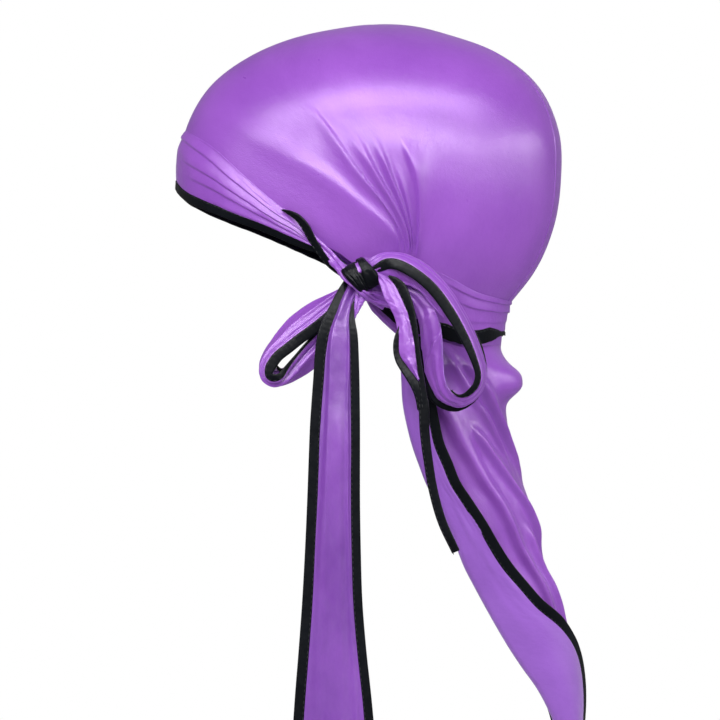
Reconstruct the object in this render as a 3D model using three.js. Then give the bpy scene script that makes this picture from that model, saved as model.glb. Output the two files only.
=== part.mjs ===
// A satin durag, tied for wearing: a stretched crown, a strap drawn across the brow and a strap drawn
// round the nape, both knotted over the wearer's left ear in a bow, two loose tie ends, and a cape that
// hangs down the back. Every cloth edge carries a black binding. Millimetres. +Z is up, -Y is the
// wearer's front and +X the wearer's left, where the bow is. The origin is the inside of the crown's
// highest point, where the head carries it.
import * as THREE from "three";

// Cloth and binding
const clothWall = 1.2;
const seatGap = 0.55;
const bindingWidth = 5.6;
const bindingThick = 2;

// Head form that the crown is stretched over, measured from its centre
const headTop = 79.4;
const headFront = 98.8;
const headBack = 97.1;
const headSide = 74.8;
const templeTaper = 0.03;

// Straps drawn round the head
const browBandThick = 1.5;
const browPleatHeight = 1.6;
const napeBandThick = 1.3;
const napePleatHeight = 0.9;
const gatherHeight = 3.4;
const templeBindingWidth = 5.4;

// Turns where the brow strap climbs over the nape strap, and where each binding starts and ends
const browClimbFrom = -84;
const browClimbTo = -106;
const browBindingFrom = -150;
const browBindingTo = 80.5;
const napeBindingFrom = 88;
const napeBindingTo = 252;

// Knot
const knotRadius = 8.2;
const knotFrontLength = 3.8;
const knotCoreLength = 0.9;
const knotBackLength = 7.4;
const knotGap = 0.3;
const knotFlatness = 0.8;
const knotTilt = 31;

// Bow, tie ends and cape
const frontLoopLength = 75;
const rearLoopLength = 87;
const rearLoopTurned = 0.6;
const longTieLength = 247;
const longTieWidth = 30;
const shortTieLength = 138;
const shortTieWidth = 7.5;
const capeLength = 233;
const capeReach = 90;
const capeHalfWidth = 62;
const capeFoldHeight = 3;
const capeTurnRadius = 2.8;
const puffHeight = 10.8;

// Form tables. Angles are degrees: turn runs round the head from the front (0) through the wearer's left
// (90) to the back (180), and polar runs down from straight up (0). Every length is a share of a size
// above.

// How far the head stands out past a plain ellipsoid through its four reaches
const headProfile = [
  { polar: 0, front: 1, side: 1, back: 1 },
  { polar: 15, front: 0.99, side: 1, back: 1.013 },
  { polar: 30, front: 1, side: 1.012, back: 1.02 },
  { polar: 45, front: 1.018, side: 1.023, back: 1.053 },
  { polar: 60, front: 1.035, side: 1.025, back: 1.068 },
  { polar: 75, front: 1.021, side: 1.013, back: 1.038 },
  { polar: 90, front: 1, side: 1, back: 1 },
  { polar: 105, front: 1.02, side: 1.009, back: 1.01 },
  { polar: 120, front: 1.05, side: 1.05, back: 1.047 },
  { polar: 130, front: 1.08, side: 1.11, back: 1.075 },
  { polar: 135, front: 1.1, side: 1.15, back: 1.11 },
  { polar: 140, front: 1.13, side: 1.2, back: 1.22 },
  { polar: 150, front: 1.2, side: 1.31, back: 1.5 },
];

// Where the crown's cloth ends, under the straps
const crownHem = [
  { turn: 0, polar: 90.5 },
  { turn: 30, polar: 98.5 },
  { turn: 45, polar: 105.5 },
  { turn: 60, polar: 112.5 },
  { turn: 75, polar: 119 },
  { turn: 86, polar: 126 },
  { turn: 96, polar: 130 },
  { turn: 110, polar: 132.5 },
  { turn: 135, polar: 133.5 },
  { turn: 180, polar: 132.5 },
];

// Folds of the crown that run down into the root of each strap. Turn is where the fold lies on the flat
// cloth.
const crownGathers = [
  { turn: 43, width: 4.2, height: 0.5, start: 0.5 },
  { turn: 54, width: 4.2, height: 0.75, start: 0.42 },
  { turn: 65, width: 3.8, height: 0.55, start: 0.55 },
  { turn: 75, width: 3.6, height: 0.8, start: 0.5 },
  { turn: 85, width: 3.4, height: 0.9, start: 0.5 },
  { turn: 93, width: 3, height: 0.7, start: 0.56 },
  { turn: 101, width: 3.2, height: 1, start: 0.52 },
];
const gatherTurn = 108;
const gatherPull = 0.9;
const gatherFrom = 0;
const gatherFull = 42;
const gatherLast = 150;
const gatherEnd = 0.92;

// Upper and lower edge of the strap over the brow, from the knot round the front to the right side and
// the nape
const browBandEdges = [
  { turn: -166, top: 131.5, low: 136.5 },
  { turn: -150, top: 128.5, low: 136.5 },
  { turn: -120, top: 123, low: 135 },
  { turn: -95, top: 117.5, low: 131.5 },
  { turn: -75, top: 110, low: 123 },
  { turn: -60, top: 102, low: 116.3 },
  { turn: -45, top: 91.6, low: 109.2 },
  { turn: -30, top: 82.6, low: 102.9 },
  { turn: -15, top: 77, low: 97.4 },
  { turn: 0, top: 75.5, low: 93.1 },
  { turn: 15, top: 77, low: 97.4 },
  { turn: 30, top: 82.6, low: 102.9 },
  { turn: 45, top: 91.6, low: 109.2 },
  { turn: 60, top: 102.5, low: 116.3 },
  { turn: 75, top: 115.6, low: 122.6 },
  { turn: 85, top: 121.5, low: 129.8 },
];
const browPleats = [
  { at: 0.2, width: 0.075, height: 0.55 },
  { at: 0.4, width: 0.085, height: 0.8 },
  { at: 0.6, width: 0.08, height: 0.7 },
  { at: 0.85, width: 0.085, height: 1 },
];

// Upper and lower edge of the strap round the nape, from the knot over the ear to the back and the right
// side
const napeBandEdges = [
  { turn: 85.9, top: 121.5, low: 132.3 },
  { turn: 95, top: 121, low: 138.3 },
  { turn: 105, top: 121.5, low: 142.3 },
  { turn: 120, top: 125.5, low: 142.8 },
  { turn: 139, top: 130, low: 143.4 },
  { turn: 158, top: 131, low: 141.3 },
  { turn: 180, top: 131, low: 138.6 },
  { turn: 202, top: 131, low: 141.3 },
  { turn: 221, top: 129, low: 143 },
  { turn: 240, top: 125, low: 142.5 },
  { turn: 255, top: 121.5, low: 139 },
];
const napePleats = [
  { at: 0.25, width: 0.1, height: 0.8 },
  { at: 0.58, width: 0.1, height: 1 },
  { at: 0.88, width: 0.09, height: 0.8 },
];

// Black edge of the brow strap that turns up over it at the temple
const templeBindingPath = [
  { turn: 56.5, polar: 101, width: 0.2 },
  { turn: 59.5, polar: 104, width: 0.8 },
  { turn: 63.5, polar: 108.5, width: 1 },
  { turn: 69, polar: 115.5, width: 0.95 },
  { turn: 74, polar: 121.2, width: 0.8 },
  { turn: 77.4, polar: 124, width: 0.6 },
];

// Bow loops: the near edge and the far edge of the ribbon from the knot's centre, as shares of the
// loop's length
const frontLoopPath = [
  { nearY: -0.085, nearZ: -0.085, farY: -0.085, farZ: -0.045, nearX: -0.03, farX: -0.08 },
  { nearY: -0.239, nearZ: -0.236, farY: -0.265, farZ: -0.133, nearX: -0.05, farX: -0.17 },
  { nearY: -0.37, nearZ: -0.302, farY: -0.385, farZ: -0.195, nearX: -0.07, farX: -0.2 },
  { nearY: -0.53, nearZ: -0.417, farY: -0.544, farZ: -0.305, nearX: -0.08, farX: -0.2 },
  { nearY: -0.635, nearZ: -0.53, farY: -0.655, farZ: -0.455, nearX: -0.08, farX: -0.19 },
  { nearY: -0.675, nearZ: -0.64, farY: -0.705, farZ: -0.59, nearX: -0.08, farX: -0.18 },
  { nearY: -0.63, nearZ: -0.722, farY: -0.67, farZ: -0.7, nearX: -0.08, farX: -0.18 },
  { nearY: -0.53, nearZ: -0.74, farY: -0.57, farZ: -0.755, nearX: -0.08, farX: -0.18 },
  { nearY: -0.431, nearZ: -0.68, farY: -0.45, farZ: -0.735, nearX: -0.09, farX: -0.19 },
  { nearY: -0.325, nearZ: -0.545, farY: -0.325, farZ: -0.66, nearX: -0.1, farX: -0.2 },
  { nearY: -0.24, nearZ: -0.415, farY: -0.21, farZ: -0.55, nearX: -0.12, farX: -0.2 },
  { nearY: -0.15, nearZ: -0.29, farY: -0.1, farZ: -0.4, nearX: -0.14, farX: -0.18 },
];
const rearLoopPath = [
  { nearY: 0.061, nearZ: 0.065, farY: 0.05, farZ: 0.1, nearX: 0.03, farX: -0.03 },
  { nearY: 0.14, nearZ: 0.104, farY: 0.14, farZ: 0.134, nearX: 0.05, farX: -0.05 },
  { nearY: 0.23, nearZ: 0.092, farY: 0.24, farZ: 0.13, nearX: 0.07, farX: -0.07 },
  { nearY: 0.35, nearZ: 0.022, farY: 0.355, farZ: 0.08, nearX: 0.08, farX: -0.09 },
  { nearY: 0.452, nearZ: -0.074, farY: 0.463, farZ: -0.017, nearX: 0.08, farX: -0.1 },
  { nearY: 0.543, nearZ: -0.206, farY: 0.566, farZ: -0.154, nearX: 0.08, farX: -0.11 },
  { nearY: 0.618, nearZ: -0.349, farY: 0.655, farZ: -0.32, nearX: 0.08, farX: -0.11 },
  { nearY: 0.667, nearZ: -0.475, farY: 0.708, farZ: -0.455, nearX: 0.08, farX: -0.11 },
  { nearY: 0.69, nearZ: -0.572, farY: 0.727, farZ: -0.561, nearX: 0.075, farX: -0.11 },
  { nearY: 0.67, nearZ: -0.648, farY: 0.708, farZ: -0.66, nearX: 0.07, farX: -0.1 },
  { nearY: 0.615, nearZ: -0.7, farY: 0.65, farZ: -0.738, nearX: 0.06, farX: -0.09 },
  { nearY: 0.545, nearZ: -0.712, farY: 0.56, farZ: -0.78, nearX: 0.05, farX: -0.07 },
  { nearY: 0.483, nearZ: -0.66, farY: 0.46, farZ: -0.755, nearX: 0.04, farX: -0.06 },
  { nearY: 0.435, nearZ: -0.54, farY: 0.365, farZ: -0.67, nearX: 0.02, farX: -0.055 },
  { nearY: 0.405, nearZ: -0.355, farY: 0.3, farZ: -0.53, nearX: 0.005, farX: -0.06 },
  { nearY: 0.372, nearZ: -0.185, farY: 0.265, farZ: -0.36, nearX: -0.005, farX: -0.065 },
  { nearY: 0.29, nearZ: -0.07, farY: 0.215, farZ: -0.19, nearX: -0.02, farX: -0.06 },
  { nearY: 0.17, nearZ: -0.03, farY: 0.14, farZ: -0.085, nearX: -0.03, farX: -0.06 },
];

// Long tie end: its two edges from the knot's centre. Down is a share of its length, the rest shares of
// its width.
const longTieEdges = [
  { down: 0.038, front: -0.26, back: 0.06, out: -0.06 },
  { down: 0.058, front: -0.57, back: -0.13, out: 0.06 },
  { down: 0.093, front: -0.68, back: -0.133, out: 0.1 },
  { down: 0.133, front: -0.746, back: -0.133, out: 0.11 },
  { down: 0.173, front: -0.785, back: -0.07, out: 0.11 },
  { down: 0.254, front: -0.829, back: -0.033, out: 0.1 },
  { down: 0.35, front: -0.865, back: -0.03, out: 0.09 },
  { down: 0.455, front: -0.912, back: -0.033, out: 0.07 },
  { down: 0.56, front: -0.95, back: -0.02, out: 0.05 },
  { down: 0.656, front: -0.995, back: 0, out: 0.03 },
  { down: 0.76, front: -1.06, back: 0.07, out: 0.02 },
  { down: 0.858, front: -1.128, back: 0.166, out: 0.02 },
  { down: 1, front: -1.2, back: 0.27, out: 0.02 },
];
const tieWaves = [
  { at: 0.3, width: 0.09, height: 0.05 },
  { at: 0.62, width: 0.1, height: -0.05 },
  { at: 0.84, width: 0.07, height: 0.035 },
];

// Short tie end: its middle line from the knot's centre as shares of its length, and its width as a share
const shortTiePath = [
  { down: -0.004, back: 0.066, out: 0.02, width: 0.4 },
  { down: 0.03, back: 0.089, out: 0.045, width: 0.6 },
  { down: 0.079, back: 0.108, out: 0.06, width: 0.8 },
  { down: 0.13, back: 0.128, out: 0.065, width: 0.95 },
  { down: 0.2, back: 0.143, out: 0.07, width: 1 },
  { down: 0.256, back: 0.153, out: 0.07, width: 0.92 },
  { down: 0.31, back: 0.166, out: 0.07, width: 0.65 },
  { down: 0.37, back: 0.186, out: 0.07, width: 0.25 },
];
const shortTieTail = [
  { down: 0.373, back: 0.188 },
  { down: 0.47, back: 0.211 },
  { down: 0.563, back: 0.224 },
  { down: 0.672, back: 0.238 },
  { down: 0.78, back: 0.256 },
  { down: 0.888, back: 0.289 },
  { down: 1, back: 0.343 },
];

// Cape. Fold is the front line where its near edge turns back, bind is that turned edge, back is its
// back line, all from the top of the fold line: fold and back as shares of the reach, bind as a share of
// the way from fold to back. Half is half the width, as a share.
const capeSections = [
  { level: 0, fold: 0, bind: 0.07, back: 0.56, half: 1 },
  { level: 0.075, fold: 0.005, bind: 0.1, back: 0.575, half: 0.98 },
  { level: 0.12, fold: 0.01, bind: 0.14, back: 0.595, half: 0.965 },
  { level: 0.164, fold: 0.017, bind: 0.16, back: 0.609, half: 0.95 },
  { level: 0.209, fold: 0.039, bind: 0.165, back: 0.62, half: 0.925 },
  { level: 0.254, fold: 0.069, bind: 0.165, back: 0.632, half: 0.9 },
  { level: 0.298, fold: 0.109, bind: 0.18, back: 0.667, half: 0.87 },
  { level: 0.343, fold: 0.155, bind: 0.185, back: 0.707, half: 0.84 },
  { level: 0.388, fold: 0.222, bind: 0.165, back: 0.75, half: 0.81 },
  { level: 0.432, fold: 0.274, bind: 0.16, back: 0.775, half: 0.78 },
  { level: 0.477, fold: 0.321, bind: 0.175, back: 0.79, half: 0.745 },
  { level: 0.522, fold: 0.367, bind: 0.22, back: 0.826, half: 0.705 },
  { level: 0.566, fold: 0.426, bind: 0.29, back: 0.878, half: 0.665 },
  { level: 0.611, fold: 0.489, bind: 0.43, back: 0.915, half: 0.62 },
  { level: 0.655, fold: 0.553, bind: 0.67, back: 0.937, half: 0.57 },
  { level: 0.7, fold: 0.622, bind: 0.87, back: 0.968, half: 0.52 },
  { level: 0.745, fold: 0.699, bind: 0.95, back: 0.99, half: 0.47 },
  { level: 0.789, fold: 0.78, bind: 0.96, back: 1.002, half: 0.42 },
  { level: 0.834, fold: 0.844, bind: 0.96, back: 1.004, half: 0.37 },
  { level: 0.879, fold: 0.892, bind: 0.96, back: 0.998, half: 0.31 },
  { level: 0.94, fold: 0.93, bind: 0.96, back: 0.99, half: 0.22 },
  { level: 1, fold: 0.95, bind: 0.96, back: 0.985, half: 0.13 },
];
// Folds of the cape. Top and low are where each starts and ends round the section, from the near fold
// (0) to the far edge (1), and from and to are the levels between which it runs.
const capeFolds = [
  { top: 0.14, low: 0.34, from: 0.06, to: 0.62, width: 0.028, height: 0.8 },
  { top: 0.22, low: 0.5, from: 0.06, to: 0.72, width: 0.03, height: 1 },
  { top: 0.31, low: 0.62, from: 0.08, to: 0.8, width: 0.032, height: 0.8 },
  { top: 0.5, low: 0.56, from: 0.3, to: 0.95, width: 0.04, height: 0.7 },
  { top: 0.69, low: 0.6, from: 0.08, to: 0.8, width: 0.035, height: 0.9 },
  { top: 0.82, low: 0.72, from: 0.07, to: 0.7, width: 0.035, height: 0.8 },
];
const puffLevel = 0.122;
const puffTall = 0.038;
const puffPlace = 0.46;
const puffWide = 0.13;
const capeTopNear = 143.2;
const capeNearTurn = 104;
const capeSquareness = 0.8;
const capeFarStop = 0.05;
const capeBindMost = 0.96;
const capeTuck = 0.045;
const capeClear = 0.085;
const capeClearance = 1.4;

const colours = { satin: 0x9a5fcf, binding: 0x15191d };

const radians = (degrees) => (degrees * Math.PI) / 180;
const mix = (a, b, share) => a + (b - a) * share;

function smooth(low, high, x) {
  const share = Math.min(1, Math.max(0, (x - low) / (high - low)));
  return share * share * (3 - 2 * share);
}

// Value of a column of a table where the table's key column has the value x, on a smooth curve through
// the rows
function read(table, key, column, x) {
  const last = table.length - 1;
  const at = Math.min(table[last][key], Math.max(table[0][key], x));
  let i = 0;
  while (i < last - 1 && at > table[i + 1][key]) i += 1;
  const slope = (a, b) => (table[b][column] - table[a][column]) / (table[b][key] - table[a][key]);
  const step = table[i + 1][key] - table[i][key];
  const share = (at - table[i][key]) / step;
  const leave = slope(Math.max(0, i - 1), i + 1) * step;
  const arrive = slope(i, Math.min(last, i + 2)) * step;
  const s2 = share * share;
  const s3 = s2 * share;
  return (
    (2 * s3 - 3 * s2 + 1) * table[i][column] +
    (s3 - 2 * s2 + share) * leave +
    (3 * s2 - 2 * s3) * table[i + 1][column] +
    (s3 - s2) * arrive
  );
}

// The same, where the rows are evenly spaced and share runs from 0 at the first to 1 at the last
function readEven(table, column, share) {
  const rows = table.map((row, i) => ({ at: i / (table.length - 1), value: row[column] }));
  return read(rows, "at", "value", share);
}

const bump = (x, centre, width) => Math.exp(-(((x - centre) / width) ** 2));
const vec = (x, y, z) => new THREE.Vector3(x, y, z);

// Direction in which a curve runs at a share of its length
function headingOf(curve, at, step = 0.02) {
  return curve(Math.min(1, at + step)).sub(curve(Math.max(0, at - step))).normalize();
}

// Head form

function ellipseRadius(reach, polar) {
  return 1 / Math.hypot(Math.sin(radians(polar)) / reach, Math.cos(radians(polar)) / headTop);
}

function headRadius(turn, polar) {
  const forward = Math.cos(radians(turn));
  const aside = Math.sin(radians(turn));
  const [reach, side] = forward > 0 ? [headFront, "front"] : [headBack, "back"];
  const long = ellipseRadius(reach, polar) * read(headProfile, "polar", side, polar);
  const wide = ellipseRadius(headSide, polar) * read(headProfile, "polar", "side", polar);
  const radius = 1 / Math.hypot(forward / long, aside / wide);
  const taper = (Math.sin(radians(2 * turn)) * Math.sin(radians(polar))) ** 2;
  return radius * (1 - (forward > 0 ? templeTaper * taper : 0));
}

function headDirection(turn, polar) {
  const flat = Math.sin(radians(polar));
  return vec(flat * Math.sin(radians(turn)), -flat * Math.cos(radians(turn)), Math.cos(radians(polar)));
}

// A point of the head form, lifted off it by a height
function onHead(turn, polar, lift) {
  return headDirection(turn, polar)
    .multiplyScalar(headRadius(turn, polar) + lift)
    .add(vec(0, 0, -headTop));
}

// Mesh builders. Each returns one closed body with its faces pointing out.

function closedBody(points, triangles) {
  let volume = 0;
  for (const [a, b, c] of triangles) volume += points[a].dot(points[b].clone().cross(points[c]));
  const corners = triangles.flatMap(([a, b, c]) => (volume > 0 ? [a, b, c] : [a, c, b]));
  const coordinates = points.flatMap((point) => point.toArray());
  const geometry = new THREE.BufferGeometry();
  geometry.setAttribute("position", new THREE.Float32BufferAttribute(coordinates, 3));
  geometry.setIndex(corners);
  geometry.computeVertexNormals();
  return geometry;
}

// Splits a four-sided facet along its shorter diagonal
function splitQuad(points, triangles, a, b, c, d) {
  const shorter = points[a].distanceTo(points[c]) <= points[b].distanceTo(points[d]);
  if (shorter) triangles.push([a, b, c], [a, c, d]);
  else triangles.push([a, b, d], [b, c, d]);
}

// A wall between two faces of rows x columns points. face(row, column, side) gives a point, side 0 or 1.
function wall(rows, columns, face) {
  const points = [];
  for (const side of [0, 1])
    for (let i = 0; i <= rows; i += 1) for (let j = 0; j <= columns; j += 1) points.push(face(i, j, side));
  const index = (i, j, side) => side * (rows + 1) * (columns + 1) + i * (columns + 1) + j;
  const triangles = [];
  const quad = (a, b, c, d) => splitQuad(points, triangles, a, b, c, d);
  for (let i = 0; i < rows; i += 1)
    for (let j = 0; j < columns; j += 1) {
      quad(index(i, j, 1), index(i + 1, j, 1), index(i + 1, j + 1, 1), index(i, j + 1, 1));
      quad(index(i, j, 0), index(i, j + 1, 0), index(i + 1, j + 1, 0), index(i + 1, j, 0));
    }
  for (let i = 0; i < rows; i += 1) {
    quad(index(i, 0, 0), index(i + 1, 0, 0), index(i + 1, 0, 1), index(i, 0, 1));
    quad(index(i, columns, 1), index(i + 1, columns, 1), index(i + 1, columns, 0), index(i, columns, 0));
  }
  for (let j = 0; j < columns; j += 1) {
    quad(index(0, j, 1), index(0, j + 1, 1), index(0, j + 1, 0), index(0, j, 0));
    quad(index(rows, j, 0), index(rows, j + 1, 0), index(rows, j + 1, 1), index(rows, j, 1));
  }
  return closedBody(points, triangles);
}

// A dome: closed at its pole, and a ring all round. face(column, ring, side) gives a point, ring 0 being
// the pole.
function dome(columns, rings, face) {
  const points = [face(0, 0, 0), face(0, 0, 1)];
  for (const side of [0, 1])
    for (let j = 1; j <= rings; j += 1) for (let i = 0; i < columns; i += 1) points.push(face(i, j, side));
  const index = (i, j, side) => (j === 0 ? side : 2 + (side * rings + j - 1) * columns + (i % columns));
  const triangles = [];
  const quad = (a, b, c, d) => splitQuad(points, triangles, a, b, c, d);
  for (let i = 0; i < columns; i += 1) {
    triangles.push([index(i, 0, 1), index(i, 1, 1), index(i + 1, 1, 1)]);
    triangles.push([index(i, 0, 0), index(i + 1, 1, 0), index(i, 1, 0)]);
    for (let j = 1; j < rings; j += 1) {
      quad(index(i, j, 1), index(i, j + 1, 1), index(i + 1, j + 1, 1), index(i + 1, j, 1));
      quad(index(i, j, 0), index(i + 1, j, 0), index(i + 1, j + 1, 0), index(i, j + 1, 0));
    }
    quad(index(i, rings, 1), index(i, rings, 0), index(i + 1, rings, 0), index(i + 1, rings, 1));
  }
  return closedBody(points, triangles);
}

// Corners of a binding's flat section, as shares of half its width and half its thickness
const bindingFlat = 0.6;
const stripSection = [
  [-1, 0],
  [-bindingFlat, 1],
  [bindingFlat, 1],
  [1, 0],
  [bindingFlat, -1],
  [-bindingFlat, -1],
];

// A flat strip through stations of { point, across, out, width }
function strip(stations, thick) {
  const points = [];
  for (const { point, across, out, width } of stations) {
    for (const [w, t] of stripSection) {
      const corner = point.clone().addScaledVector(across, (w * width) / 2);
      points.push(corner.addScaledVector(out, (t * thick) / 2));
    }
  }
  const sides = stripSection.length;
  const triangles = [];
  const last = (stations.length - 1) * sides;
  for (let i = 0; i < last; i += sides)
    for (let k = 0; k < sides; k += 1) {
      const next = (k + 1) % sides;
      triangles.push([i + k, i + next, i + sides + next], [i + k, i + sides + next, i + sides + k]);
    }
  for (let k = 1; k < sides - 1; k += 1)
    triangles.push([0, k + 1, k], [last, last + k, last + k + 1]);
  return closedBody(points, triangles);
}

const part = new THREE.Group();

function addPiece(name, geometry, colour, roughness) {
  const material = new THREE.MeshStandardMaterial({ color: colour, metalness: 0, roughness });
  const mesh = new THREE.Mesh(geometry, material);
  mesh.name = name;
  part.add(mesh);
}

const addSatin = (name, geometry) => addPiece(name, geometry, colours.satin, 0.38);
const addBinding = (name, geometry) => addPiece(name, geometry, colours.binding, 0.5);

// Crown: one stretched dome, whose cloth is drawn down and back into the root of each strap

// Share of the way to the strap's root that the cloth has been drawn, at a share of the way down to the
// hem
const drawnShare = (down) => smooth(0.28, 0.93, down) * gatherPull;

// Turn on the head of a line of the cloth
function drawnTurn(clothTurn, down) {
  const turn = Math.abs(clothTurn);
  const before = smooth(gatherFrom, gatherFull, turn);
  const behind = 1 - smooth(gatherTurn, gatherLast, turn);
  const caught = turn < gatherTurn ? before : behind;
  return Math.sign(clothTurn) * (turn + (gatherTurn - turn) * caught * drawnShare(down));
}

function gatherLift(clothTurn, down) {
  const turn = Math.abs(clothTurn);
  const rise = (start) => smooth(start, start + 0.2, down) * (1 - smooth(gatherEnd - 0.1, gatherEnd, down));
  const folds = crownGathers.map((g) => g.height * bump(turn, g.turn, g.width) * rise(g.start));
  return gatherHeight * Math.max(...folds) * Math.sqrt(1 - drawnShare(down));
}

// Columns of the dome lie close together where the cloth is gathered
function crownColumns() {
  const turns = [];
  const step = (turn) => {
    if (turn < 36) return 9;
    return turn < 108 ? 3.6 : 12;
  };
  for (let turn = 0; turn < 176; turn += step(turn)) turns.push(turn);
  const mirrored = turns.slice(1).map((turn) => -turn).reverse();
  return [...turns, 180, ...mirrored];
}

const crownTurns = crownColumns();
const crownRings = 11;
const crownFace = (i, j, side) => {
  const clothTurn = crownTurns[i % crownTurns.length];
  const down = 1 - (1 - j / crownRings) ** 1.2;
  const turn = drawnTurn(clothTurn, down);
  const polar = down * read(crownHem, "turn", "polar", Math.abs(turn));
  return onHead(turn, polar, gatherLift(clothTurn, down) + side * clothWall);
};
addSatin("crown", dome(crownTurns.length, crownRings, crownFace));

// Straps round the head: a band whose pleats close up towards the knot, and a binding on its lower edge

const overCrown = clothWall + seatGap;
const overNapeBand = overCrown + napeBandThick + napePleatHeight + seatGap;

// Lift of the brow band's underside: on the crown, and on the nape band where it passes over that
const browBandLift = (turn) => mix(overCrown, overNapeBand, 1 - smooth(browClimbTo, browClimbFrom, turn));

// Polar angle that a length across the head's surface spans
const span = (length, turn, polar) => (length / headRadius(turn, polar)) * (180 / Math.PI);

function bandWall(edges, { pleats, lift, thick, height }, steps) {
  const first = edges[0].turn;
  const last = edges[edges.length - 1].turn;
  const columns = 9;
  return wall(steps, columns, (i, j, side) => {
    const turn = mix(first, last, i / steps);
    const low = read(edges, "turn", "low", turn);
    const bound = low - span(bindingWidth + seatGap, turn, low);
    const across = j / columns;
    const polar = mix(bound, read(edges, "turn", "top", turn), across);
    const folded = pleats.reduce((sum, p) => sum + p.height * bump(across, p.at, p.width), 0);
    return onHead(turn, polar, lift(turn) + side * (thick + height * folded));
  });
}

function bandBinding(edges, lift, from, to, steps) {
  const stations = [];
  for (let i = 0; i <= steps; i += 1) {
    const turn = mix(from, to, i / steps);
    const low = read(edges, "turn", "low", turn);
    const polar = low - span(bindingWidth / 2, turn, low);
    const middle = lift(turn) + bindingThick / 2;
    const out = headDirection(turn, polar);
    const across = onHead(turn, polar + 1, middle).sub(onHead(turn, polar - 1, middle)).normalize();
    stations.push({ point: onHead(turn, polar, middle), across, out, width: bindingWidth });
  }
  return strip(stations, bindingThick);
}

const browBand = { pleats: browPleats, lift: browBandLift, thick: browBandThick, height: browPleatHeight };
const browSteps = 32;
const browBindingSteps = 28;
addSatin("brow_band", bandWall(browBandEdges, browBand, browSteps));
const browBound = [browBindingFrom, browBindingTo];
const browBinding = bandBinding(browBandEdges, browBandLift, ...browBound, browBindingSteps);
addBinding("brow_binding", browBinding);

const napeBandLift = () => overCrown;
const napeBand = { pleats: napePleats, lift: napeBandLift, thick: napeBandThick, height: napePleatHeight };
const napeSteps = 24;
addSatin("nape_band", bandWall(napeBandEdges, napeBand, napeSteps));
const napeBinding = bandBinding(napeBandEdges, napeBandLift, napeBindingFrom, napeBindingTo, napeSteps);
addBinding("nape_binding", napeBinding);

const overBrowBand = overCrown + browBandThick + browPleatHeight + seatGap;
const templeSteps = 8;
const templePlace = (at, lift) =>
  onHead(readEven(templeBindingPath, "turn", at), readEven(templeBindingPath, "polar", at), lift);
const templeStations = Array.from({ length: templeSteps + 1 }, (_, i) => {
  const at = i / templeSteps;
  const place = (share) => templePlace(share, overBrowBand + bindingThick / 2);
  const out = place(at).sub(templePlace(at, 0)).normalize();
  const across = out.clone().cross(headingOf(place, at)).normalize();
  const width = templeBindingWidth * readEven(templeBindingPath, "width", at);
  return { point: place(at), across, out, width };
});
addBinding("temple_binding", strip(templeStations, bindingThick));

// Knot: a black wrap and a collar of satin beside it, flattened against the head

const knotTurn = 86.2;
const knotPolar = 123.4;
const knotLift = overBrowBand + knotRadius * knotFlatness;
const knotCentre = onHead(knotTurn, knotPolar, knotLift);

// A barrel about the knot's axis, from one distance along it to another
function barrel(from, to, radius) {
  const profile = [
    [0, from],
    [radius * 0.6, from],
    [radius * 0.86, mix(from, to, 0.06)],
    [radius, mix(from, to, 0.3)],
    [radius, mix(from, to, 0.7)],
    [radius * 0.86, mix(from, to, 0.94)],
    [radius * 0.6, to],
    [0, to],
  ].map(([r, h]) => new THREE.Vector2(r, h));
  const geometry = new THREE.LatheGeometry(profile, 14);
  geometry.scale(1, 1, knotFlatness);
  geometry.applyMatrix4(
    new THREE.Matrix4().makeBasis(
      vec(0, Math.sin(radians(knotTilt)), -Math.cos(radians(knotTilt))),
      vec(0, Math.cos(radians(knotTilt)), Math.sin(radians(knotTilt))),
      vec(1, 0, 0),
    ),
  );
  geometry.translate(knotCentre.x, knotCentre.y, knotCentre.z);
  return geometry;
}

const knotStart = -(knotFrontLength + knotCoreLength + knotBackLength) / 2 - knotGap;
const knotCoreStart = knotStart + knotFrontLength + knotGap;
const knotBackStart = knotCoreStart + knotCoreLength + knotGap;
addBinding("knot_front_wrap", barrel(knotStart, knotStart + knotFrontLength, knotRadius * 0.93));
addSatin("knot_core", barrel(knotCoreStart, knotCoreStart + knotCoreLength, knotRadius * 0.86));
addBinding("knot_back_wrap", barrel(knotBackStart, knotBackStart + knotBackLength, knotRadius));

// A place beside the knot: out from the head, back and up
const fromKnot = (out, back, up) => knotCentre.clone().add(vec(out, back, up));

// Bow loops: a ribbon between two edges, with a binding that faces out along its near edge

function loopEdges(path, length, at) {
  const column = (name) => length * readEven(path, name, at);
  return {
    near: fromKnot(column("nearX"), column("nearY"), column("nearZ")),
    far: fromKnot(column("farX"), column("farY"), column("farZ")),
  };
}

function loopWall(path, length, steps) {
  const columns = 3;
  return wall(steps, columns, (i, j, side) => {
    const at = i / steps;
    const here = loopEdges(path, length, at);
    const across = here.far.clone().sub(here.near);
    const middle = (share) => {
      const { near, far } = loopEdges(path, length, share);
      return near.lerp(far, 0.5);
    };
    const out = headingOf(middle, at).cross(across).normalize();
    const point = here.near.clone().addScaledVector(across, j / columns);
    return point.addScaledVector(out, (side - 0.5) * clothWall);
  });
}

// The binding narrows to the share turned where the ribbon turns its edge away
function loopBinding(path, length, { from, to, turned }, steps) {
  const stations = [];
  for (let i = 0; i <= steps; i += 1) {
    const at = mix(from, to, i / steps);
    const { near, far } = loopEdges(path, length, at);
    const heading = headingOf((share) => loopEdges(path, length, share).near, at);
    const across = vec(1, 0, 0).cross(heading).normalize();
    if (across.dot(far.sub(near)) > 0) across.negate();
    const out = heading.clone().cross(across).normalize();
    const width = bindingWidth * mix(1, turned, smooth(0.2, 0.45, at));
    const point = near.clone().addScaledVector(across, (width + clothWall) / 2 + seatGap);
    stations.push({ point, across, out, width });
  }
  return strip(stations, bindingThick);
}

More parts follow.
